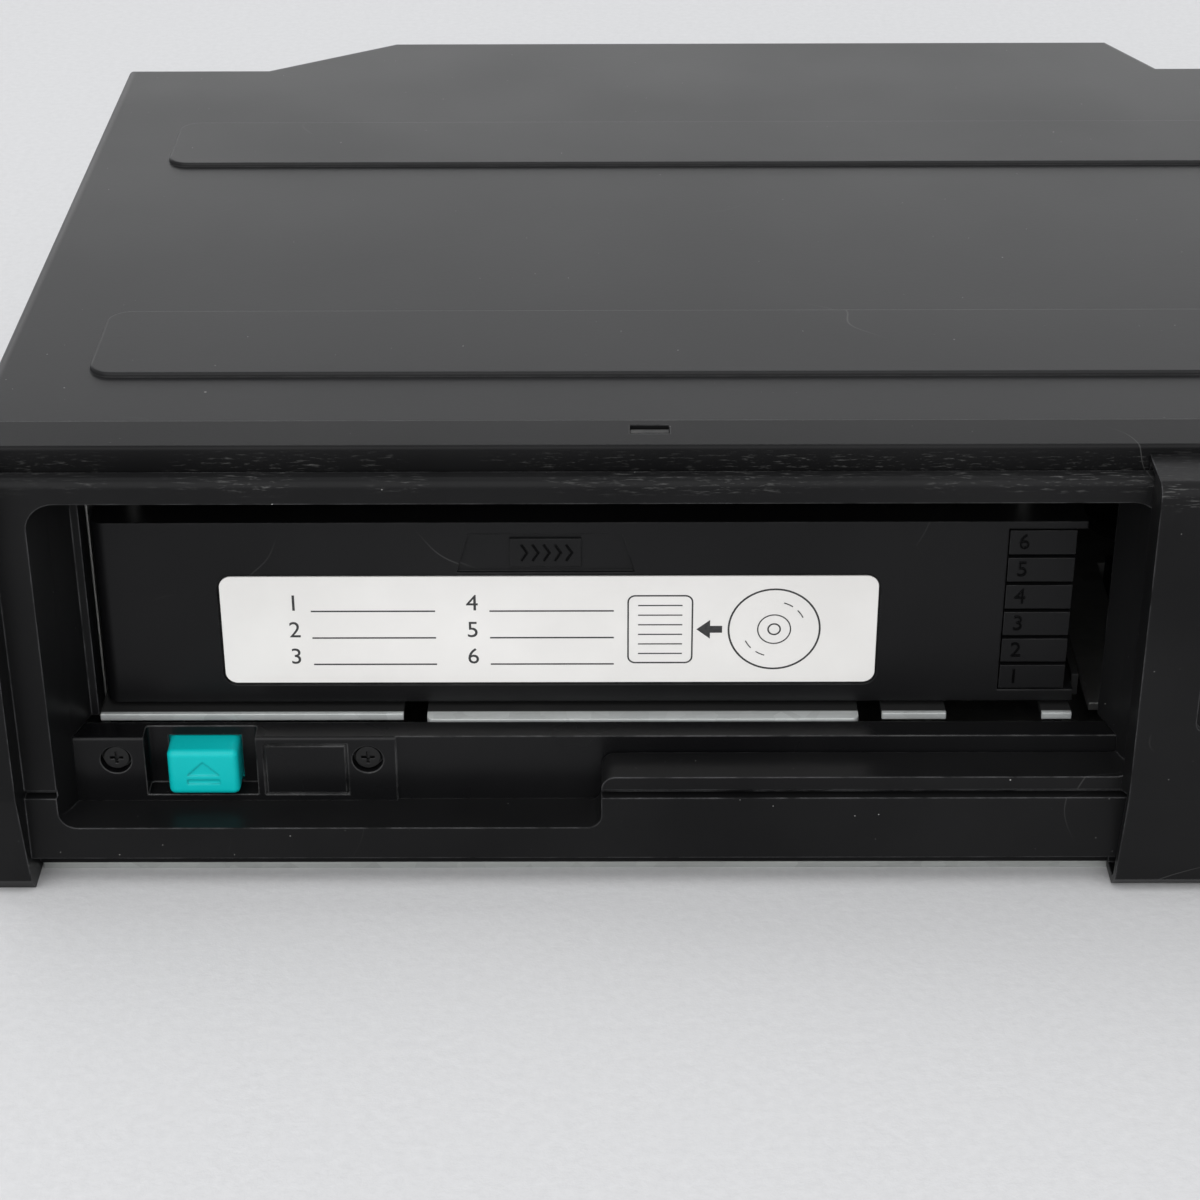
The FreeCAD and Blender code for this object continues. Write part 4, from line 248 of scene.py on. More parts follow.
def handling_group():
    """Dust, fibres, hair scratches and fine grain on a handled surface."""
    tree, w, given, out = new_group(
        "handling_marks",
        [("Place", "Vector", None), ("Colour", "Color", (0.01, 0.01, 0.01, 1.0)),
         ("Roughness", "Float", 0.4), ("Dust", "Float", 0.5), ("Scratches", "Float", 0.3),
         ("Grain", "Float", 0.5), ("Grain scale", "Float", 2500.0), ("Streaks", "Float", 0.0)],
        [("Colour", "Color"), ("Roughness", "Float"), ("Height", "Float")])
    place = given["Place"]
    specks = []
    for scale, radius in ((95.0, 0.020), (260.0, 0.034), (620.0, 0.050)):
        cell = w.cells(place, scale)
        pick = w.node("ShaderNodeSeparateColor", {"Color": cell.outputs["Color"]})
        size = w.sum("MULTIPLY", pick.outputs["Red"], radius)
        spot = w.sum("LESS_THAN", cell.outputs["Distance"], size)
        chosen = w.sum("LESS_THAN", pick.outputs["Green"], w.sum("MULTIPLY", given["Dust"], 0.42))
        specks.append(w.sum("MULTIPLY", w.sum("MULTIPLY", spot, chosen), pick.outputs["Blue"]))
    dust = w.sum("MAXIMUM", w.sum("MAXIMUM", specks[0], specks[1]), specks[2])
    bent = w.node("ShaderNodeTexNoise", {"Vector": place, "Scale": 38.0, "Detail": 1.0})
    turned = w.vector("ADD", place, w.scaled(bent.outputs["Color"], 0.03))
    hair = w.cells(turned, 17.0, "DISTANCE_TO_EDGE").outputs["Distance"]
    patch = w.remap(w.noise(place, 31.0), 0.60, 0.70)
    thin = w.remap(hair, 0.0, 0.0016, 1.0, 0.0)
    scratch = w.sum("MULTIPLY", w.sum("MULTIPLY", thin, patch), given["Scratches"])
    height = w.node("ShaderNodeSeparateXYZ", {"Vector": place}).outputs["Z"]
    away = w.sum("ABSOLUTE", w.sum("SUBTRACT", height, GROOVE_LEVEL))
    beside = w.remap(away, GROOVE_CLEAN, GROOVE_WORN)
    dashes = w.remap(w.noise(w.stretched(place, (420.0, 3000.0, 3000.0)), 1.0, 3.0, 0.7), 0.56, 0.74)
    marked = w.remap(w.noise(place, 55.0, 2.0), 0.42, 0.60)
    streak = w.sum("MULTIPLY", w.sum("MULTIPLY", dashes, marked), w.sum("MULTIPLY", beside, given["Streaks"]))
    marks = w.sum("MAXIMUM", w.sum("MULTIPLY", dust, 0.9), w.sum("MULTIPLY", scratch, 0.25))
    marks = w.sum("MAXIMUM", marks, streak)
    cloud = w.remap(w.noise(place, 26.0, 4.0), 0.35, 0.70)
    film = w.sum("MULTIPLY", w.sum("MULTIPLY", cloud, given["Dust"]), 0.012)
    veiled = w.mix(film, given["Colour"], (0.5, 0.5, 0.5, 1.0))
    w.feed(out["Colour"], w.mix(marks, veiled, (0.60, 0.60, 0.58, 1.0)))
    uneven = w.sum("MULTIPLY_ADD", cloud, 0.05, given["Roughness"])
    w.feed(out["Roughness"], w.sum("MULTIPLY_ADD", marks, 0.3, uneven))
    grain = w.sum("MULTIPLY", w.noise(place, given["Grain scale"], 2.0), given["Grain"])
    w.feed(out["Height"], w.sum("SUBTRACT", grain, scratch))
    return tree


def brushed_group():
    """Rolled and plated sheet: fine lines along one direction, pale blooms and a few darker stains."""
    tree, w, given, out = new_group(
        "rolled_plate",
        [("Place", "Vector", None), ("Colour", "Color", (0.6, 0.6, 0.6, 1.0)), ("Roughness", "Float", 0.3),
         ("Lines", "Float", 0.5)],
        [("Colour", "Color"), ("Roughness", "Float"), ("Height", "Float")])
    place = given["Place"]
    lines = w.noise(w.stretched(place, (60.0, 4200.0, 4200.0)), 1.0, 3.0)
    bloom = w.cells(place, 320.0).outputs["Color"]
    shade = w.node("ShaderNodeSeparateColor", {"Color": bloom}).outputs["Red"]
    stain = w.remap(w.noise(place, 45.0, 5.0, 0.6), 0.55, 0.75)
    tone = w.sum("MULTIPLY_ADD", shade, 0.14, w.sum("MULTIPLY_ADD", lines, 0.20, 0.74))
    toned = w.scaled(given["Colour"], tone)
    w.feed(out["Colour"], w.mix(w.sum("MULTIPLY", stain, 0.35), toned, (0.30, 0.29, 0.27, 1.0)))
    rough = w.sum("MULTIPLY_ADD", stain, 0.2, given["Roughness"])
    w.feed(out["Roughness"], w.sum("MULTIPLY_ADD", lines, 0.12, rough))
    w.feed(out["Height"], w.sum("MULTIPLY", lines, given["Lines"]))
    return tree


def edge_group():
    """Edges painted paler, partly as rubbed wear and partly as a painted highlight: the colour changes where
    the rounded normal leaves the flat one.
    """
    tree, w, given, out = new_group(
        "edge_rub",
        [("Rounded", "Vector", None), ("Flat", "Vector", None), ("Place", "Vector", None),
         ("Colour", "Color", (0.01, 0.01, 0.01, 1.0)), ("Rubbed", "Color", (0.1, 0.1, 0.1, 1.0)),
         ("Amount", "Float", 0.5)],
        [("Colour", "Color"), ("Edge", "Float")])
    agree = w.vector("DOT_PRODUCT", given["Rounded"], given["Flat"])
    edge = w.remap(agree, 0.97, 0.80)
    patch = w.remap(w.noise(given["Place"], 210.0, 4.0, 0.7), 0.34, 0.60)
    share = w.sum("MULTIPLY", w.sum("MULTIPLY", edge, patch), given["Amount"])
    w.feed(out["Colour"], w.mix(share, given["Colour"], given["Rubbed"]))
    w.feed(out["Edge"], edge)
    return tree


class Finish:
    """One material: a Principled shader with Object coordinates and, if asked, a rounded edge normal."""

    def __init__(self, name, roughness=0.4, round_edge=0.0, **plain):
        self.name = name
        self.material = bpy.data.materials.new(name)
        self.material.use_nodes = True
        self.w = Wiring(self.material.node_tree)
        self.shader = self.material.node_tree.nodes["Principled BSDF"]
        self.shader.inputs["Roughness"].default_value = roughness
        for key, value in plain.items():
            self.shader.inputs[key.replace("_", " ")].default_value = value
        self.place = self.w.node("ShaderNodeTexCoord").outputs["Object"]
        geometry = self.w.node("ShaderNodeNewGeometry")
        self.flat = geometry.outputs["Normal"]
        self.rounded = self.flat
        if round_edge:
            bevel = self.w.node("ShaderNodeBevel", {"Radius": round_edge}, samples=4)
            self.rounded = bevel.outputs["Normal"]

    def group(self, name, **inputs):
        tree = bpy.data.node_groups.get(name)
        made = self.w.node("ShaderNodeGroup", node_tree=tree)
        for key, value in inputs.items():
            self.w.feed(made.inputs[key.replace("_", " ")], value)
        return made.outputs

    def set(self, socket, value):
        self.w.feed(self.shader.inputs[socket], value)
        return self

    def bump(self, height, depth, strength=0.6):
        made = self.w.node("ShaderNodeBump", {"Height": height, "Distance": depth, "Strength": strength,
                                              "Normal": self.rounded})
        return self.set("Normal", made.outputs["Normal"])


def grey(level):
    return (level, level, level)


def handled(name, colour, wear_highlight, roughness, dust, scratches, depth=SATIN_DEPTH, grain=1.0,
            grain_scale=FINE_GRAIN, edge=0.35 * MM, wear_highlight_share=0.5, streaks=0.0, **plain):
    """A handled plastic or paint: rounded edges painted paler as rubbed wear and as a painted highlight,
    dust, scratches and grain.
    """
    finish = Finish(name, round_edge=edge, **plain)
    marked = finish.group("edge_rub", Rounded=finish.rounded, Flat=finish.flat, Place=finish.place,
                        Colour=rgba(colour), Rubbed=rgba(wear_highlight), Amount=wear_highlight_share)
    marks = finish.group("handling_marks", Place=finish.place, Colour=marked["Colour"], Roughness=roughness,
                         Dust=dust, Scratches=scratches, Grain=grain, Grain_scale=grain_scale,
                         Streaks=streaks)
    finish.set("Base Color", marks["Colour"]).set("Roughness", marks["Roughness"])
    finish.bump(marks["Height"], depth)
    return finish


def plated(name, colour, roughness, lines, metallic=1.0, **plain):
    """Plated or rolled metal."""
    finish = Finish(name, round_edge=0.2 * MM, Metallic=metallic, **plain)
    sheet = finish.group("rolled_plate", Place=finish.place, Colour=rgba(colour), Roughness=roughness,
                         Lines=lines)
    finish.set("Base Color", sheet["Colour"]).set("Roughness", sheet["Roughness"])
    finish.bump(sheet["Height"], 0.02 * MM, 0.35)
    return finish


def give(finish):
    """Put a finish on the nodes of the frame that take it."""
    for node in FINISH_OF[finish.name]:
        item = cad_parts[node]
        item.data.materials.clear()
        item.data.materials.append(finish.material)


# ---------------------------------------------------------------- surfaces
def make_piece(name, points, faces, finish, body, slot):
    """A finished object at the origin from arrays of points in metres and of faces."""
    mesh = bpy.data.meshes.new(name)
    mesh.from_pydata(np.asarray(points, float).tolist(), [], [list(face) for face in faces])
    mesh.update()
    mesh.materials.append(finish.material)
    item = bpy.data.objects.new(name, mesh)
    bpy.context.scene.collection.objects.link(item)
    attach(item, body)
    return item


def smooth(item, angle=math.radians(40)):
    """Shade smooth, except across edges sharper than the angle."""
    item.data.shade_smooth()
    item.data.set_sharp_from_angle(angle=angle)
    return item


def grid_faces(rows, columns, wrap_rows=False, wrap_columns=False):
    """Quads of a grid of rows by columns of points, closed round in either direction."""
    row = np.arange(rows if wrap_rows else rows - 1)
    column = np.arange(columns if wrap_columns else columns - 1)
    a, b = np.meshgrid(row, column, indexing="ij")
    after_a, after_b = (a + 1) % rows, (b + 1) % columns
    quads = np.stack([a * columns + b, after_a * columns + b, after_a * columns + after_b,
                      a * columns + after_b], axis=-1)
    return quads.reshape(-1, 4)


def capped_tube(rings, around):
    """Faces of a tube of rings, closed round each ring and by one face at either end."""
    last = (rings - 1) * around
    ends = [list(range(around)), [last + index for index in reversed(range(around))]]
    return grid_faces(rings, around, wrap_columns=True).tolist() + ends


def ribbon(path, width, level, height, closed=False):
    """A printed line of rectangular section along a flat path of X, Z points.

    Across the path the corner is P(t) + s * w/2 * N(t), with N the path's normal and s = -1 or +1, and the
    section's other two corners are the same points a height nearer to the viewer, at level - height."""
    path = np.asarray(path, float)
    ahead = np.roll(path, -1, axis=0) - path
    behind = path - np.roll(path, 1, axis=0)
    if not closed:
        ahead[-1] = behind[-1]
        behind[0] = ahead[0]
    ahead /= np.linalg.norm(ahead, axis=1)[:, None]
    behind /= np.linalg.norm(behind, axis=1)[:, None]
    along = ahead + behind
    along /= np.linalg.norm(along, axis=1)[:, None]
    stretch = 1.0 / np.maximum((along * ahead).sum(axis=1), 0.35)
    normal = np.stack([-along[:, 1], along[:, 0]], axis=1) * (stretch * width / 2)[:, None]
    left, right = path + normal, path - normal
    ring = np.stack([left, right, right, left], axis=1)
    y = np.broadcast_to(np.array([level - height, level - height, level, level]), ring.shape[:2])
    points = np.stack([ring[..., 0], y, ring[..., 1]], axis=-1).reshape(-1, 3)
    faces = grid_faces(len(path), 4, wrap_rows=closed, wrap_columns=True).tolist()
    if not closed:
        last = (len(path) - 1) * 4
        faces += [[0, 1, 2, 3], [last + 3, last + 2, last + 1, last]]
    return points, faces


def plate(outline, level, height):
    """A flat printed patch: a closed outline of X, Z points given a thickness towards the viewer."""
    outline = np.asarray(outline, float)
    count = len(outline)
    front = np.column_stack([outline[:, 0], np.full(count, level - height), outline[:, 1]])
    back = np.column_stack([outline[:, 0], np.full(count, level), outline[:, 1]])
    ring = np.arange(count)
    after = (ring + 1) % count
    sides = np.stack([ring, ring + count, after + count, after], axis=1).tolist()
    return np.vstack([front, back]), sides + [ring.tolist(), (ring[::-1] + count).tolist()]


def arc(centre, radius, start, end, count=25):
    """Points centre + r (cos t, sin t) for t between two angles in degrees."""
    angle = np.radians(np.linspace(start, end, count))
    return np.column_stack([centre[0] + radius * np.cos(angle), centre[1] + radius * np.sin(angle)])


def rounded_box(x, z, radius, count=7):
    """A rectangle's outline with its corners rounded, anticlockwise from the lower right."""
    corners = [(x[1] - radius, z[0] + radius, -90), (x[1] - radius, z[1] - radius, 0),
               (x[0] + radius, z[1] - radius, 90), (x[0] + radius, z[0] + radius, 180)]
    return np.vstack([arc((cx, cz), radius, start, start + 90, count) for cx, cz, start in corners])


def joined(shapes):
    """Several points-and-faces pairs as one."""
    points, faces, base = [], [], 0
    for shape_points, shape_faces in shapes:
        points.append(np.asarray(shape_points, float))
        faces += [[index + base for index in face] for face in shape_faces]
        base += len(shape_points)
    return np.vstack(points), faces


def outward(item):
    """Turn every face of a closed shell outwards."""
    shell = bmesh.new()
    shell.from_mesh(item.data)
    bmesh.ops.recalc_face_normals(shell, faces=shell.faces)
    shell.to_mesh(item.data)
    shell.free()
    item.data.update()
    return item


def words(name, text, height, depth, finish, body, place):
    """Digits facing the viewer: a text made into a mesh, then stood up at its place."""
    curve = bpy.data.curves.new(name, "FONT")
    curve.body = text
    curve.size = height / DIGIT_SHARE
    curve.extrude = depth / 2
    curve.align_x = curve.align_y = "CENTER"
    curve.resolution_u = 4
    flat = bpy.data.objects.new(name, curve)
    bpy.context.scene.collection.objects.link(flat)
    mesh = bpy.data.meshes.new_from_object(flat.evaluated_get(bpy.context.evaluated_depsgraph_get()))
    bpy.data.objects.remove(flat)
    co = np.empty(len(mesh.vertices) * 3)
    mesh.vertices.foreach_get("co", co)
    co = co.reshape(-1, 3)
    stood = np.column_stack([co[:, 0] + place[0], place[1] - co[:, 2], co[:, 1] + place[2]])
    mesh.vertices.foreach_set("co", stood.ravel())
    mesh.update()
    mesh.materials.clear()
    mesh.materials.append(finish.material)
    mesh.name = name
    item = bpy.data.objects.new(name, mesh)
    bpy.context.scene.collection.objects.link(item)
    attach(item, body)
    return item


def finish_named(name):
    """A finish that an earlier operator made, wrapped so that a piece can take it."""
    wrapped = Finish.__new__(Finish)
    wrapped.material = bpy.data.materials[name]
    return wrapped


# ---------------------------------------------------------------- operators
class ChangerStep(bpy.types.Operator):
    """A step that leaves the scene changed."""

    bl_options = {"REGISTER", "UNDO"}

    @property
    def colours(self):
        return bpy.context.scene.changer_finish

    @property
    def print(self):
        return bpy.context.scene.changer_print


class CHANGER_OT_effects(ChangerStep):
    """Build the shared effects: handling marks, rolled plate and edges painted paler as wear and as a painted
    highlight
    """

    bl_idname = "changer.effects"
    bl_label = "Shared effects"

    def execute(self, context):
        for build in (handling_group, brushed_group, edge_group):
            build()
        return {"FINISHED"}


class CHANGER_OT_cover(ChangerStep):
    """Paint the top cover in satin dark grey"""

    bl_idname = "changer.cover"
    bl_label = "Cover paint"

    def execute(self, context):
        c = self.colours
        give(handled("cover_paint", c.cover, wear_highlight=grey(0.10), roughness=0.34, dust=c.dust * 0.8,
                     scratches=c.scratches, grain_scale=1500.0, wear_highlight_share=0.3, Specular_IOR_Level=DULL_PAINT))
        return {"FINISHED"}


class CHANGER_OT_front(ChangerStep):
    """Give the front, the door and the pocket frame their black plastic"""

    bl_idname = "changer.front"
    bl_label = "Front plastic"

    def execute(self, context):
        c = self.colours
        give(handled("front_plastic", c.front, wear_highlight=(0.12, 0.12, 0.123), roughness=0.30, dust=c.dust,
                     scratches=c.scratches, wear_highlight_share=0.9, streaks=0.14, Specular_IOR_Level=DULL_FRONT))
        give(handled("pocket_plastic", c.magazine, wear_highlight=grey(0.12), roughness=0.26, dust=c.dust,
                     scratches=c.scratches, depth=SMOOTH_DEPTH, wear_highlight_share=0.9, Specular_IOR_Level=DULL))
        return {"FINISHED"}


class CHANGER_OT_magazine(ChangerStep):
    """Give the magazine, its trays and its label their finishes"""

    bl_idname = "changer.magazine"
    bl_label = "Magazine finishes"

    def execute(self, context):
        c = self.colours
        give(handled("magazine_plastic", c.magazine, wear_highlight=grey(0.05), roughness=0.36, dust=c.dust * 0.8,
                     scratches=c.scratches, grain_scale=TRAY_GRAIN, Specular_IOR_Level=DULL))
        give(handled("tray_plastic", c.tray, wear_highlight=grey(0.05), roughness=0.38, dust=c.dust * 0.6,
                     scratches=c.scratches, grain_scale=TRAY_GRAIN, edge=0.2 * MM, wear_highlight_share=0.8,
                     Specular_IOR_Level=DULL))
        # Painted shade and highlight: the tray numbers and push chevrons are the trays' own black plastic,
        # coloured darker than the tab, with paler painted highlights on their rims
        handled("number_plastic", (0.0006, 0.0006, 0.0007), wear_highlight=grey(0.10), roughness=0.28, dust=0.1,
                scratches=0.1, grain_scale=TRAY_GRAIN, depth=POLISHED_DEPTH, edge=0.06 * MM, wear_highlight_share=0.6,
                Specular_IOR_Level=DULL_NUMBER)
        self.paper()
        return {"FINISHED"}

    def paper(self):
        """The label's paper: fine fibres, two close tones and a few dark specks."""
        paper = Finish("label_paper", roughness=0.5, round_edge=0.1 * MM)
        fibre = paper.w.noise(paper.place, 5200.0, 3.0, 0.7)
        tone = paper.w.remap(paper.w.noise(paper.place, 90.0, 4.0), 0.3, 0.7)
        warm = paper.w.mix(tone, rgba(self.colours.label), (0.79, 0.775, 0.75, 1.0))
        cells = paper.w.cells(paper.place, 210.0)
        pick = paper.w.node("ShaderNodeSeparateColor", {"Color": cells.outputs["Color"]})
        speck = paper.w.sum("MULTIPLY", paper.w.sum("LESS_THAN", cells.outputs["Distance"], 0.045),
                            paper.w.sum("LESS_THAN", pick.outputs["Green"], 0.06))
        paper.set("Base Color", paper.w.mix(speck, warm, (0.25, 0.24, 0.22, 1.0)))
        paper.bump(fibre, 0.01 * MM, 0.3)
        give(paper)


class CHANGER_OT_button(ChangerStep):
    """Give the eject button its teal plastic"""

    bl_idname = "changer.button"
    bl_label = "Button plastic"

    def execute(self, context):
        give(handled("button_plastic", self.colours.button, wear_highlight=(0.05, 0.60, 0.60), roughness=0.34,
                     dust=0.25, scratches=0.2, depth=SMOOTH_DEPTH, edge=0.45 * MM,
                     Specular_IOR_Level=DULL))
        return {"FINISHED"}


class CHANGER_OT_metal(ChangerStep):
    """Plate the sheet metal, rods, screws, motors and contacts"""

    bl_idname = "changer.metal"
    bl_label = "Metal finishes"

    def execute(self, context):
        give(plated("zinc_plate", (0.72, 0.74, 0.72), roughness=0.34, lines=0.8))
        self.guide_plate()
        # Painted shade: the zinc-plated cover catch is coloured dark grey where it lies in the slot's shade
        give(plated("dark_plate", grey(0.045), roughness=0.36, lines=0.6, metallic=0.8))
        give(plated("chassis_plate", (0.60, 0.60, 0.58), roughness=0.40, lines=0.8))
        give(plated("motor_can", (0.66, 0.66, 0.67), roughness=0.22, lines=0.4))
        give(plated("gold_contact", (0.83, 0.62, 0.28), roughness=0.22, lines=0.2))
        give(handled("black_screw", grey(0.003), wear_highlight=grey(0.10), roughness=0.24, dust=0.3,
                     scratches=0.2, grain=0.6, depth=POLISHED_DEPTH, edge=0.15 * MM, wear_highlight_share=0.35,
                     Specular_IOR_Level=SATIN_SCREW))
        return {"FINISHED"}

    def guide_plate(self):
        """Zinc along the front lip; behind it, and up the fence, painted shade that stands for the magazine's
        shadow and dark reflection.
        """
        guide = plated("guide_zinc", (0.72, 0.75, 0.74), roughness=0.42, lines=0.8, metallic=0.5)
        w = guide.w
        axes = w.node("ShaderNodeSeparateXYZ", {"Vector": guide.place}).outputs
        fence_shade = w.sum("GREATER_THAN", axes["Z"], FENCE_FOOT)
        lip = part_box("magazine_guide_plate")[0][1] + LIT_LIP_STRIP
        shade_behind_lip = w.remap(axes["Y"], lip, lip + SHADE_BLEND)
        sheet = guide.shader.inputs["Base Color"].links[0].from_socket
        # Painted shade: grey 0.035 over the plate behind the lit strip and up the fence, for the magazine's
        # shadow and dark reflection
        guide.set("Base Color", w.mix(w.sum("MAXIMUM", fence_shade, shade_behind_lip), sheet, rgba(grey(0.035))))
        give(guide)


class CHANGER_OT_mouldings(ChangerStep):
    """Give the small mouldings, the rubber and the lens their finishes"""

    bl_idname = "changer.mouldings"
    bl_label = "Mouldings"

    def execute(self, context):
        give(handled("moulded_black", (0.012, 0.012, 0.013), wear_highlight=grey(0.06), roughness=0.42, dust=0.2,
                     scratches=0.1, edge=0.2 * MM))
        give(handled("natural_acetal", (0.66, 0.62, 0.52), wear_highlight=(0.74, 0.71, 0.62), roughness=0.36,
                     dust=0.1, scratches=0.1, depth=SMOOTH_DEPTH, grain_scale=1800.0, edge=0.2 * MM,
                     Subsurface_Weight=0.05))
        give(handled("damper_rubber", grey(0.010), wear_highlight=grey(0.04), roughness=0.75, dust=0.3,
                     scratches=0.0, depth=0.03 * MM, grain_scale=900.0, edge=0.4 * MM))
        give(Finish("lens_glass", roughness=0.03, Base_Color=(0.25, 0.30, 0.62, 1.0),
                    Transmission_Weight=0.6, IOR=1.5))
        return {"FINISHED"}


class CHANGER_OT_board(ChangerStep):
    """Draw the circuit board's mask: copper tracks and pads under green lacquer"""

    bl_idname = "changer.board"
    bl_label = "Circuit board"

    def execute(self, context):
        board = Finish("board_mask", roughness=0.25, Coat_Weight=0.4)
        w = board.w
        tracks = w.cells(board.place, 330.0, "DISTANCE_TO_EDGE").outputs["Distance"]
        line = w.remap(tracks, 0.07, 0.11, 1.0, 0.0)
        pad = w.sum("LESS_THAN", w.cells(board.place, 390.0).outputs["Distance"], 0.16)
        green = w.mix(line, (0.010, 0.075, 0.030, 1.0), (0.018, 0.14, 0.05, 1.0))
        board.set("Base Color", w.mix(pad, green, (0.55, 0.52, 0.45, 1.0)))
        board.set("Metallic", w.sum("MULTIPLY", pad, 0.9))
        board.bump(w.sum("MAXIMUM", line, pad), 0.03 * MM)
        give(board)
        return {"FINISHED"}


class CHANGER_OT_discs(ChangerStep):
    """Give each disc its clear hub, stacking ring and mirrored band"""

    bl_idname = "changer.discs"
    bl_label = "Discs"

    def execute(self, context):
        low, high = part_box("disc_1")
        centre = ((low[0] + high[0]) / 2, (low[1] + high[1]) / 2)
        disc = Finish("disc_layers", Metallic=1.0, Coat_Weight=1.0)
        w = disc.w
        axes = w.node("ShaderNodeSeparateXYZ", {"Vector": disc.place})
        x = w.sum("SUBTRACT", axes.outputs["X"], centre[0])
        y = w.sum("SUBTRACT", axes.outputs["Y"], centre[1])
        radius = w.sum("SQRT", w.sum("ADD", w.sum("MULTIPLY", x, x), w.sum("MULTIPLY", y, y)))
        hub = w.sum("LESS_THAN", radius, DISC_HUB)
        data = w.sum("MULTIPLY", w.sum("GREATER_THAN", radius, DISC_BAND[0]),
                     w.sum("LESS_THAN", radius, DISC_BAND[1]))
        tracks = w.sum("SINE", w.sum("MULTIPLY", radius, DISC_TRACKS))
        played = w.remap(radius, DISC_BAND[0], DISC_PLAYED, 0.80, 0.70)
        silver = w.node("ShaderNodeCombineColor", {"Red": played, "Green": played,
                                                   "Blue": w.sum("MULTIPLY", played, 1.04)}).outputs[0]
        shiny = w.mix(data, (0.55, 0.56, 0.58, 1.0), silver)
        disc.set("Base Color", w.mix(hub, shiny, (0.40, 0.41, 0.43, 1.0)))
        disc.set("Metallic", w.sum("SUBTRACT", 1.0, w.sum("MULTIPLY", hub, 0.75)))
        disc.set("Roughness", w.sum("MULTIPLY_ADD", data, -0.05, 0.13))
        disc.bump(w.sum("MULTIPLY", tracks, data), 0.002 * MM, 0.3)
        give(disc)
        return {"FINISHED"}


class CHANGER_OT_tray_numbers(ChangerStep):
    """Stand a raised number on each tray's tab, 1 at the bottom"""

    bl_idname = "changer.tray_numbers"
    bl_label = "Tray numbers"

    # The tab's width from the tray's right end, and the digit's place on it
    tab_width = 9.2 * MM
    digit_inset = 2.0 * MM

    def execute(self, context):
        plastic = finish_named("number_plastic")
        relief = self.print.relief
        for number in TRAYS:
            low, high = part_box("tray_%d" % number)
            tab_left = high[0] - self.tab_width
            place = (tab_left + self.digit_inset, low[1] - relief * 0.2, (low[2] + high[2]) / 2)
            words("tray_number_%d" % number, str(number), self.print.digit, relief * 1.6, plastic,
                  "tray_%d" % number, place)
        return {"FINISHED"}


class CHANGER_OT_label_print(ChangerStep):
    """Print the label: six numbered lines to write on, a plain disc and an arrow into a slot"""

    bl_idname = "changer.label_print"
    bl_label = "Label print"

    # Layout in millimetres from the label's lower left corner
    columns, column_left, column_step = 2, 9.0, 25.0
    rows, line_top, number_top, row_step = 3, 11.6, 12.8, 4.3
    line_span = (3.6, 21.0)
    number_inset, number_height = 1.2, 2.5
    disc_place = (77.5, 8.6)
    disc_rings = ((6.4, 1.2), (2.3, 0.8), (0.85, 1.0))
    glint_radius, glint_width, glint_starts, glint_sweep = 4.4, 0.7, (25, 55, 205, 235), 18
    slot_x, slot_z, slot_round = (57.0, 66.0), (3.2, 14.0), 1.0
    bar_count, bar_low, bar_step, bar_inset, bar_width = 6, 1.5, 1.55, 1.4, 0.8
    arrow_gap = 0.6
    arrow = ((0.0, 0.0), (1.9, -1.5), (1.9, -0.55), (3.6, -0.55), (3.6, 0.55), (1.9, 0.55), (1.9, 1.5))

    def execute(self, context):
        ink = self.black_ink()
        low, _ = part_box("magazine_label")
        self.left, self.level, self.bottom = low
        self.line, self.thick = self.print.line, self.print.ink
        shapes = self.writing_lines() + self.disc() + self.slot() + [self.arrow_head()]
        outward(make_piece("label_drawing", *joined(shapes), ink, "magazine", "magazine_plastic"))
        for number in TRAYS:
            column, row = divmod(number - 1, self.rows)
            place = (self.left + (self.column_left + self.number_inset + self.column_step * column) * MM,
                     self.level - self.thick / 2,
                     self.bottom + (self.number_top - self.row_step * row) * MM)
            words("label_number_%d" % number, str(number), self.number_height * MM, self.thick, ink,
                  "magazine", place)
        return {"FINISHED"}

    def black_ink(self):
        ink = Finish("black_ink", roughness=0.45)
        spread = ink.w.remap(ink.w.noise(ink.place, 2400.0, 3.0), 0.2, 0.9)
        return ink.set("Base Color", ink.w.mix(spread, (0.014, 0.014, 0.015, 1.0), rgba(grey(0.05))))

    def stroke(self, path, width=1.0, closed=False):
        return ribbon(path, self.line * width, self.level, self.thick, closed)

    def writing_lines(self):
        shapes = []
        for column in range(self.columns):
            for row in range(self.rows):
                start = self.left + (self.column_left + self.column_step * column) * MM
                height = self.bottom + (self.line_top - self.row_step * row) * MM
                shapes.append(self.stroke([(start + end * MM, height) for end in self.line_span]))
        return shapes

    def disc(self):
        centre = (self.left + self.disc_place[0] * MM, self.bottom + self.disc_place[1] * MM)
        shapes = [self.stroke(arc(centre, radius * MM, 0, 354, 60), width, True)
                  for radius, width in self.disc_rings]
        for start in self.glint_starts:
            glint = arc(centre, self.glint_radius * MM, start, start + self.glint_sweep, 9)
            shapes.append(self.stroke(glint, self.glint_width))
        return shapes

    def slot(self):
        wide = [self.left + x * MM for x in self.slot_x]
        tall = [self.bottom + z * MM for z in self.slot_z]
        shapes = [self.stroke(rounded_box(wide, tall, self.slot_round * MM), closed=True)]
        for step in range(self.bar_count):
            z = tall[0] + (self.bar_low + self.bar_step * step) * MM
            row = [(wide[0] + self.bar_inset * MM, z), (wide[1] - self.bar_inset * MM, z)]
            shapes.append(self.stroke(row, self.bar_width))
        return shapes

    def arrow_head(self):
        tip = self.left + self.slot_x[1] * MM + self.arrow_gap * MM
        middle = self.bottom + self.disc_place[1] * MM
        return plate([(tip + x * MM, middle + z * MM) for x, z in self.arrow], self.level, self.thick)


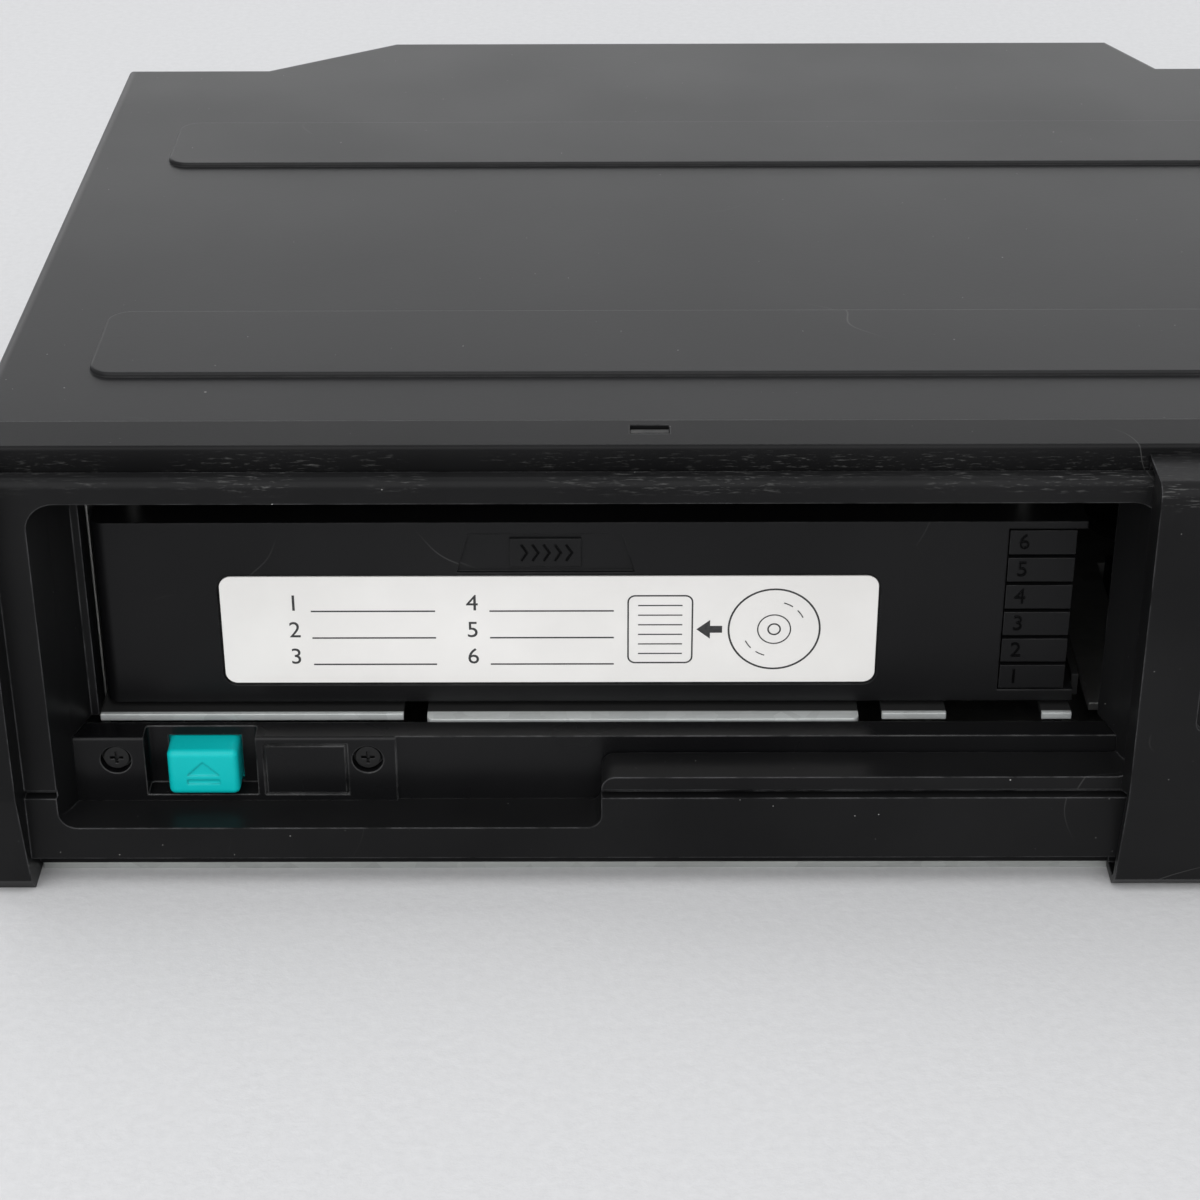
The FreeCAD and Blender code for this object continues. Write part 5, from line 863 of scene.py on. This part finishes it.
class CHANGER_OT_push_marks(ChangerStep):
    """Raise five chevrons on the magazine's push plate"""

    bl_idname = "changer.push_marks"
    bl_label = "Push marks"

    # The chevrons in millimetres: first place, step, half height, reach, width, sink and relief
    count, first, step = 5, 1.6, 1.55
    half_height, reach, width = 1.25, 0.8, 0.34
    sink, relief = 0.02, 0.14

    def execute(self, context):
        low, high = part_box("magazine_push_plate")
        middle, shapes = (low[2] + high[2]) / 2, []
        for index in range(self.count):
            x = low[0] + (self.first + self.step * index) * MM
            path = [(x, middle - self.half_height * MM), (x + self.reach * MM, middle),
                    (x, middle + self.half_height * MM)]
            shapes.append(ribbon(path, self.width * MM, low[1] + self.sink * MM, self.relief * MM))
        outward(make_piece("push_marks", *joined(shapes), finish_named("number_plastic"), "magazine",
                           "magazine_plastic"))
        return {"FINISHED"}


class CHANGER_OT_springs(ChangerStep):
    """Wind the four suspension springs from round wire"""

    bl_idname = "changer.springs"
    bl_label = "Springs"

    wire, radius, turns = 0.5 * MM, 6.8 * MM, 3.0
    rings, around = 160, 10

    def execute(self, context):
        low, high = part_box("suspension_springs")
        shapes = []
        for x in (low[0] + self.radius + self.wire, high[0] - self.radius - self.wire):
            for y in (low[1] + self.radius + self.wire, high[1] - self.radius - self.wire):
                shapes.append(self.wound((x, y), (low[2] + self.wire, high[2] - self.wire)))
        item = outward(make_piece("round_wire_springs", *joined(shapes), finish_named("zinc_plate"),
                                  "case", "zinc_steel"))
        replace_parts(smooth(item), "suspension_springs")
        return {"FINISHED"}

    def wound(self, centre, span):
        """A tube along a helix: its middle is (R cos t, R sin t, z(t)) for t from 0 to 2 pi times the turns.

        z(t) eases at both ends, so the first and last turn lie nearly flat. Each ring of the tube is a circle
        across the helix's direction, and the two ends are closed."""
        radius, wire, rings, around = self.radius, self.wire, self.rings, self.around
        share = np.linspace(0.0, 1.0, rings)
        angle = share * self.turns * 2 * np.pi
        eased = np.clip((share - 0.08) / 0.84, 0.0, 1.0)
        z = span[0] + (span[1] - span[0]) * eased
        middle = np.column_stack([centre[0] + radius * np.cos(angle), centre[1] + radius * np.sin(angle), z])
        out = np.column_stack([np.cos(angle), np.sin(angle), np.zeros(rings)])
        up = np.broadcast_to(np.array([0.0, 0.0, 1.0]), out.shape)
        turn = np.linspace(0.0, 2 * np.pi, around, endpoint=False)
        points = (middle[:, None] + wire * (np.cos(turn)[None, :, None] * out[:, None]
                                            + np.sin(turn)[None, :, None] * up[:, None])).reshape(-1, 3)
        return points, capped_tube(rings, around)


class CHANGER_OT_feed_screw(ChangerStep):
    """Cut the thread of the pickup's feed screw"""

    bl_idname = "changer.feed_screw"
    bl_label = "Feed screw"

    def execute(self, context):
        item = make_piece("feed_screw_thread", *self.threaded(*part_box("feed_screw")),
                          finish_named("natural_acetal"), "feed_screw", "natural_plastic")
        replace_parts(smooth(outward(item)), "feed_screw")
        return {"FINISHED"}

    def threaded(self, low, high, pitch=2.5 * MM, depth=0.4 * MM, around=24, steps=12):
        """A screw along Y: its radius is R - d * f(a / 2 pi - y / p), with f a rounded ridge once a turn."""
        radius = (high[0] - low[0]) / 2
        centre = ((low[0] + high[0]) / 2, (low[2] + high[2]) / 2)
        rows = int((high[1] - low[1]) / pitch * steps)
        y = np.linspace(low[1], high[1], rows)
        angle = np.linspace(0.0, 2 * np.pi, around, endpoint=False)
        turn = angle[None, :] / (2 * np.pi) - y[:, None] / pitch
        ridge = 0.5 - 0.5 * np.tanh(3.0 * np.cos(2 * np.pi * turn))
        r = radius - depth * ridge
        points = np.stack([centre[0] + r * np.cos(angle), np.broadcast_to(y[:, None], r.shape),
                           centre[1] + r * np.sin(angle)], axis=-1).reshape(-1, 3)
        return points, capped_tube(rows, around)


class CHANGER_OT_stage(ChangerStep):
    """Lay the floor and backdrop, hang the lamps and set the camera"""

    bl_idname = "changer.stage"
    bl_label = "Stage"

    # Each lamp's setting, its place, and its width and height, in metres
    lamps = (("front", (-0.35, -1.55, 1.35), (2.4, 2.4)), ("above", (0.20, 0.15, 1.90), (2.4, 2.4)),
             ("behind", (0.0, 1.70, 0.45), (2.4, 0.7)))
    # The backdrop in metres: near end, start of its bend, the bend's radius, half width, height
    near, back, bend, wide, tall = -2.5, 1.3, 0.6, 3.5, 2.8
    sky_colour = (0.70, 0.71, 0.73, 1.0)

    def execute(self, context):
        stage = context.scene.changer_stage
        scene = context.scene
        scene.view_settings.view_transform = "Standard"
        camera = bpy.data.objects.new("camera", bpy.data.cameras.new("camera"))
        scene.collection.objects.link(camera)
        camera.location = CAMERA_PLACE
        yaw, pitch, roll = (math.radians(angle) for angle in CAMERA_TURN)
        turn = Matrix.Rotation(yaw, 3, "Z") @ Matrix.Rotation(pitch, 3, "X") @ Matrix.Rotation(roll, 3, "Z")
        camera.rotation_euler = turn.to_euler()
        camera.data.lens = stage.lens
        camera.data.sensor_width = SENSOR_WIDTH
        camera.data.shift_x, camera.data.shift_y = CAMERA_SHIFT
        camera.data.clip_start = NEAR_LIMIT
        scene.camera = camera
        self.floor(stage)
        for name, place, size in self.lamps:
            self.lamp("lamp_" + name, place, size, getattr(stage, name))
        self.sky(stage)
        return {"FINISHED"}

    def floor(self, stage):
        """The floor runs flat to the back, turns up along a quarter circle and ends as a wall.

        Across X it is straight; along the profile s it is (y, z) = (s, 0), then (Y + R sin a, R - R cos a),
        then a rise."""
        angle = np.linspace(0.0, np.pi / 2, 24)
        curve = np.column_stack([self.back + self.bend * np.sin(angle),
                                 self.bend - self.bend * np.cos(angle)])
        profile = np.vstack([[(self.near, 0.0)], curve, [(self.back + self.bend, self.tall)]])
        x = np.array([-self.wide, self.wide])
        points = np.stack([np.broadcast_to(x[None, :], (len(profile), 2)),
                           np.broadcast_to(profile[:, :1], (len(profile), 2)),
                           np.broadcast_to(profile[:, 1:], (len(profile), 2))], axis=-1).reshape(-1, 3)
        paper = Finish("stage_paper", roughness=0.75, Specular_IOR_Level=0.2)
        mottle = paper.w.remap(paper.w.noise(paper.place, 620.0, 4.0, 0.7), 0.3, 0.7)
        light = rgba(stage.floor)
        dark = tuple(value * 0.93 for value in light[:3]) + (1.0,)
        paper.set("Base Color", paper.w.mix(mottle, dark, light))
        paper.bump(mottle, 0.10 * MM, 0.35)
        mesh = bpy.data.meshes.new("floor")
        mesh.from_pydata(points.tolist(), [], grid_faces(len(profile), 2)[:, ::-1].tolist())
        mesh.materials.append(paper.material)
        mesh.shade_smooth()
        floor = bpy.data.objects.new("floor", mesh)
        bpy.context.scene.collection.objects.link(floor)

    def lamp(self, name, place, size, power):
        """A soft lamp of some width and height that faces the object."""
        data = bpy.data.lights.new(name, "AREA")
        data.shape = "RECTANGLE"
        data.size, data.size_y = size
        data.energy = power
        lamp = bpy.data.objects.new(name, data)
        lamp.location = place
        lamp.rotation_euler = Vector(place).to_track_quat("Z", "Y").to_euler()
        bpy.context.scene.collection.objects.link(lamp)

    def sky(self, stage):
        """A plain sky: pale where it is seen, mirrored or looked through, and dimmer as light."""
        world = bpy.data.worlds.new("studio")
        world.use_nodes = True
        bpy.context.scene.world = world
        w = Wiring(world.node_tree)
        paths = w.node("ShaderNodeLightPath")
        seen = w.sum("MAXIMUM", w.sum("MAXIMUM", paths.outputs["Is Camera Ray"],
                                      paths.outputs["Is Glossy Ray"]), paths.outputs["Is Transmission Ray"])
        background = world.node_tree.nodes["Background"]
        background.inputs["Color"].default_value = self.sky_colour
        w.feed(background.inputs["Strength"], w.remap(seen, 0.0, 1.0, stage.fill, 1.0))


STEPS = (CHANGER_OT_effects, CHANGER_OT_cover, CHANGER_OT_front, CHANGER_OT_magazine, CHANGER_OT_button,
         CHANGER_OT_metal, CHANGER_OT_mouldings, CHANGER_OT_board, CHANGER_OT_discs,
         CHANGER_OT_tray_numbers, CHANGER_OT_label_print, CHANGER_OT_push_marks, CHANGER_OT_springs,
         CHANGER_OT_feed_screw, CHANGER_OT_stage)


class CHANGER_PT_sidebar(bpy.types.Panel):
    """Lists the steps and their settings"""

    bl_idname = "CHANGER_PT_sidebar"
    bl_label = "Disc Changer"
    bl_space_type = "VIEW_3D"
    bl_region_type = "UI"
    bl_category = "Disc Changer"

    def draw(self, context):
        for group in (context.scene.changer_finish, context.scene.changer_print, context.scene.changer_stage):
            box = self.layout.box()
            for name in group.__annotations__:
                box.prop(group, name)
        for step in STEPS:
            self.layout.operator(step.bl_idname)


SETTINGS = {"changer_finish": ChangerFinish, "changer_print": ChangerPrint, "changer_stage": ChangerStage}


def register():
    for kind in tuple(SETTINGS.values()) + STEPS + (CHANGER_PT_sidebar,):
        bpy.utils.register_class(kind)
    for name, kind in SETTINGS.items():
        setattr(bpy.types.Scene, name, PointerProperty(type=kind))


def unregister():
    for name in SETTINGS:
        delattr(bpy.types.Scene, name)
    for kind in (CHANGER_PT_sidebar,) + STEPS[::-1] + tuple(SETTINGS.values()):
        bpy.utils.unregister_class(kind)


def main():
    register()
    for step in STEPS:
        group, name = step.bl_idname.split(".")
        getattr(getattr(bpy.ops, group), name)()


if __name__ == "__main__":
    main()
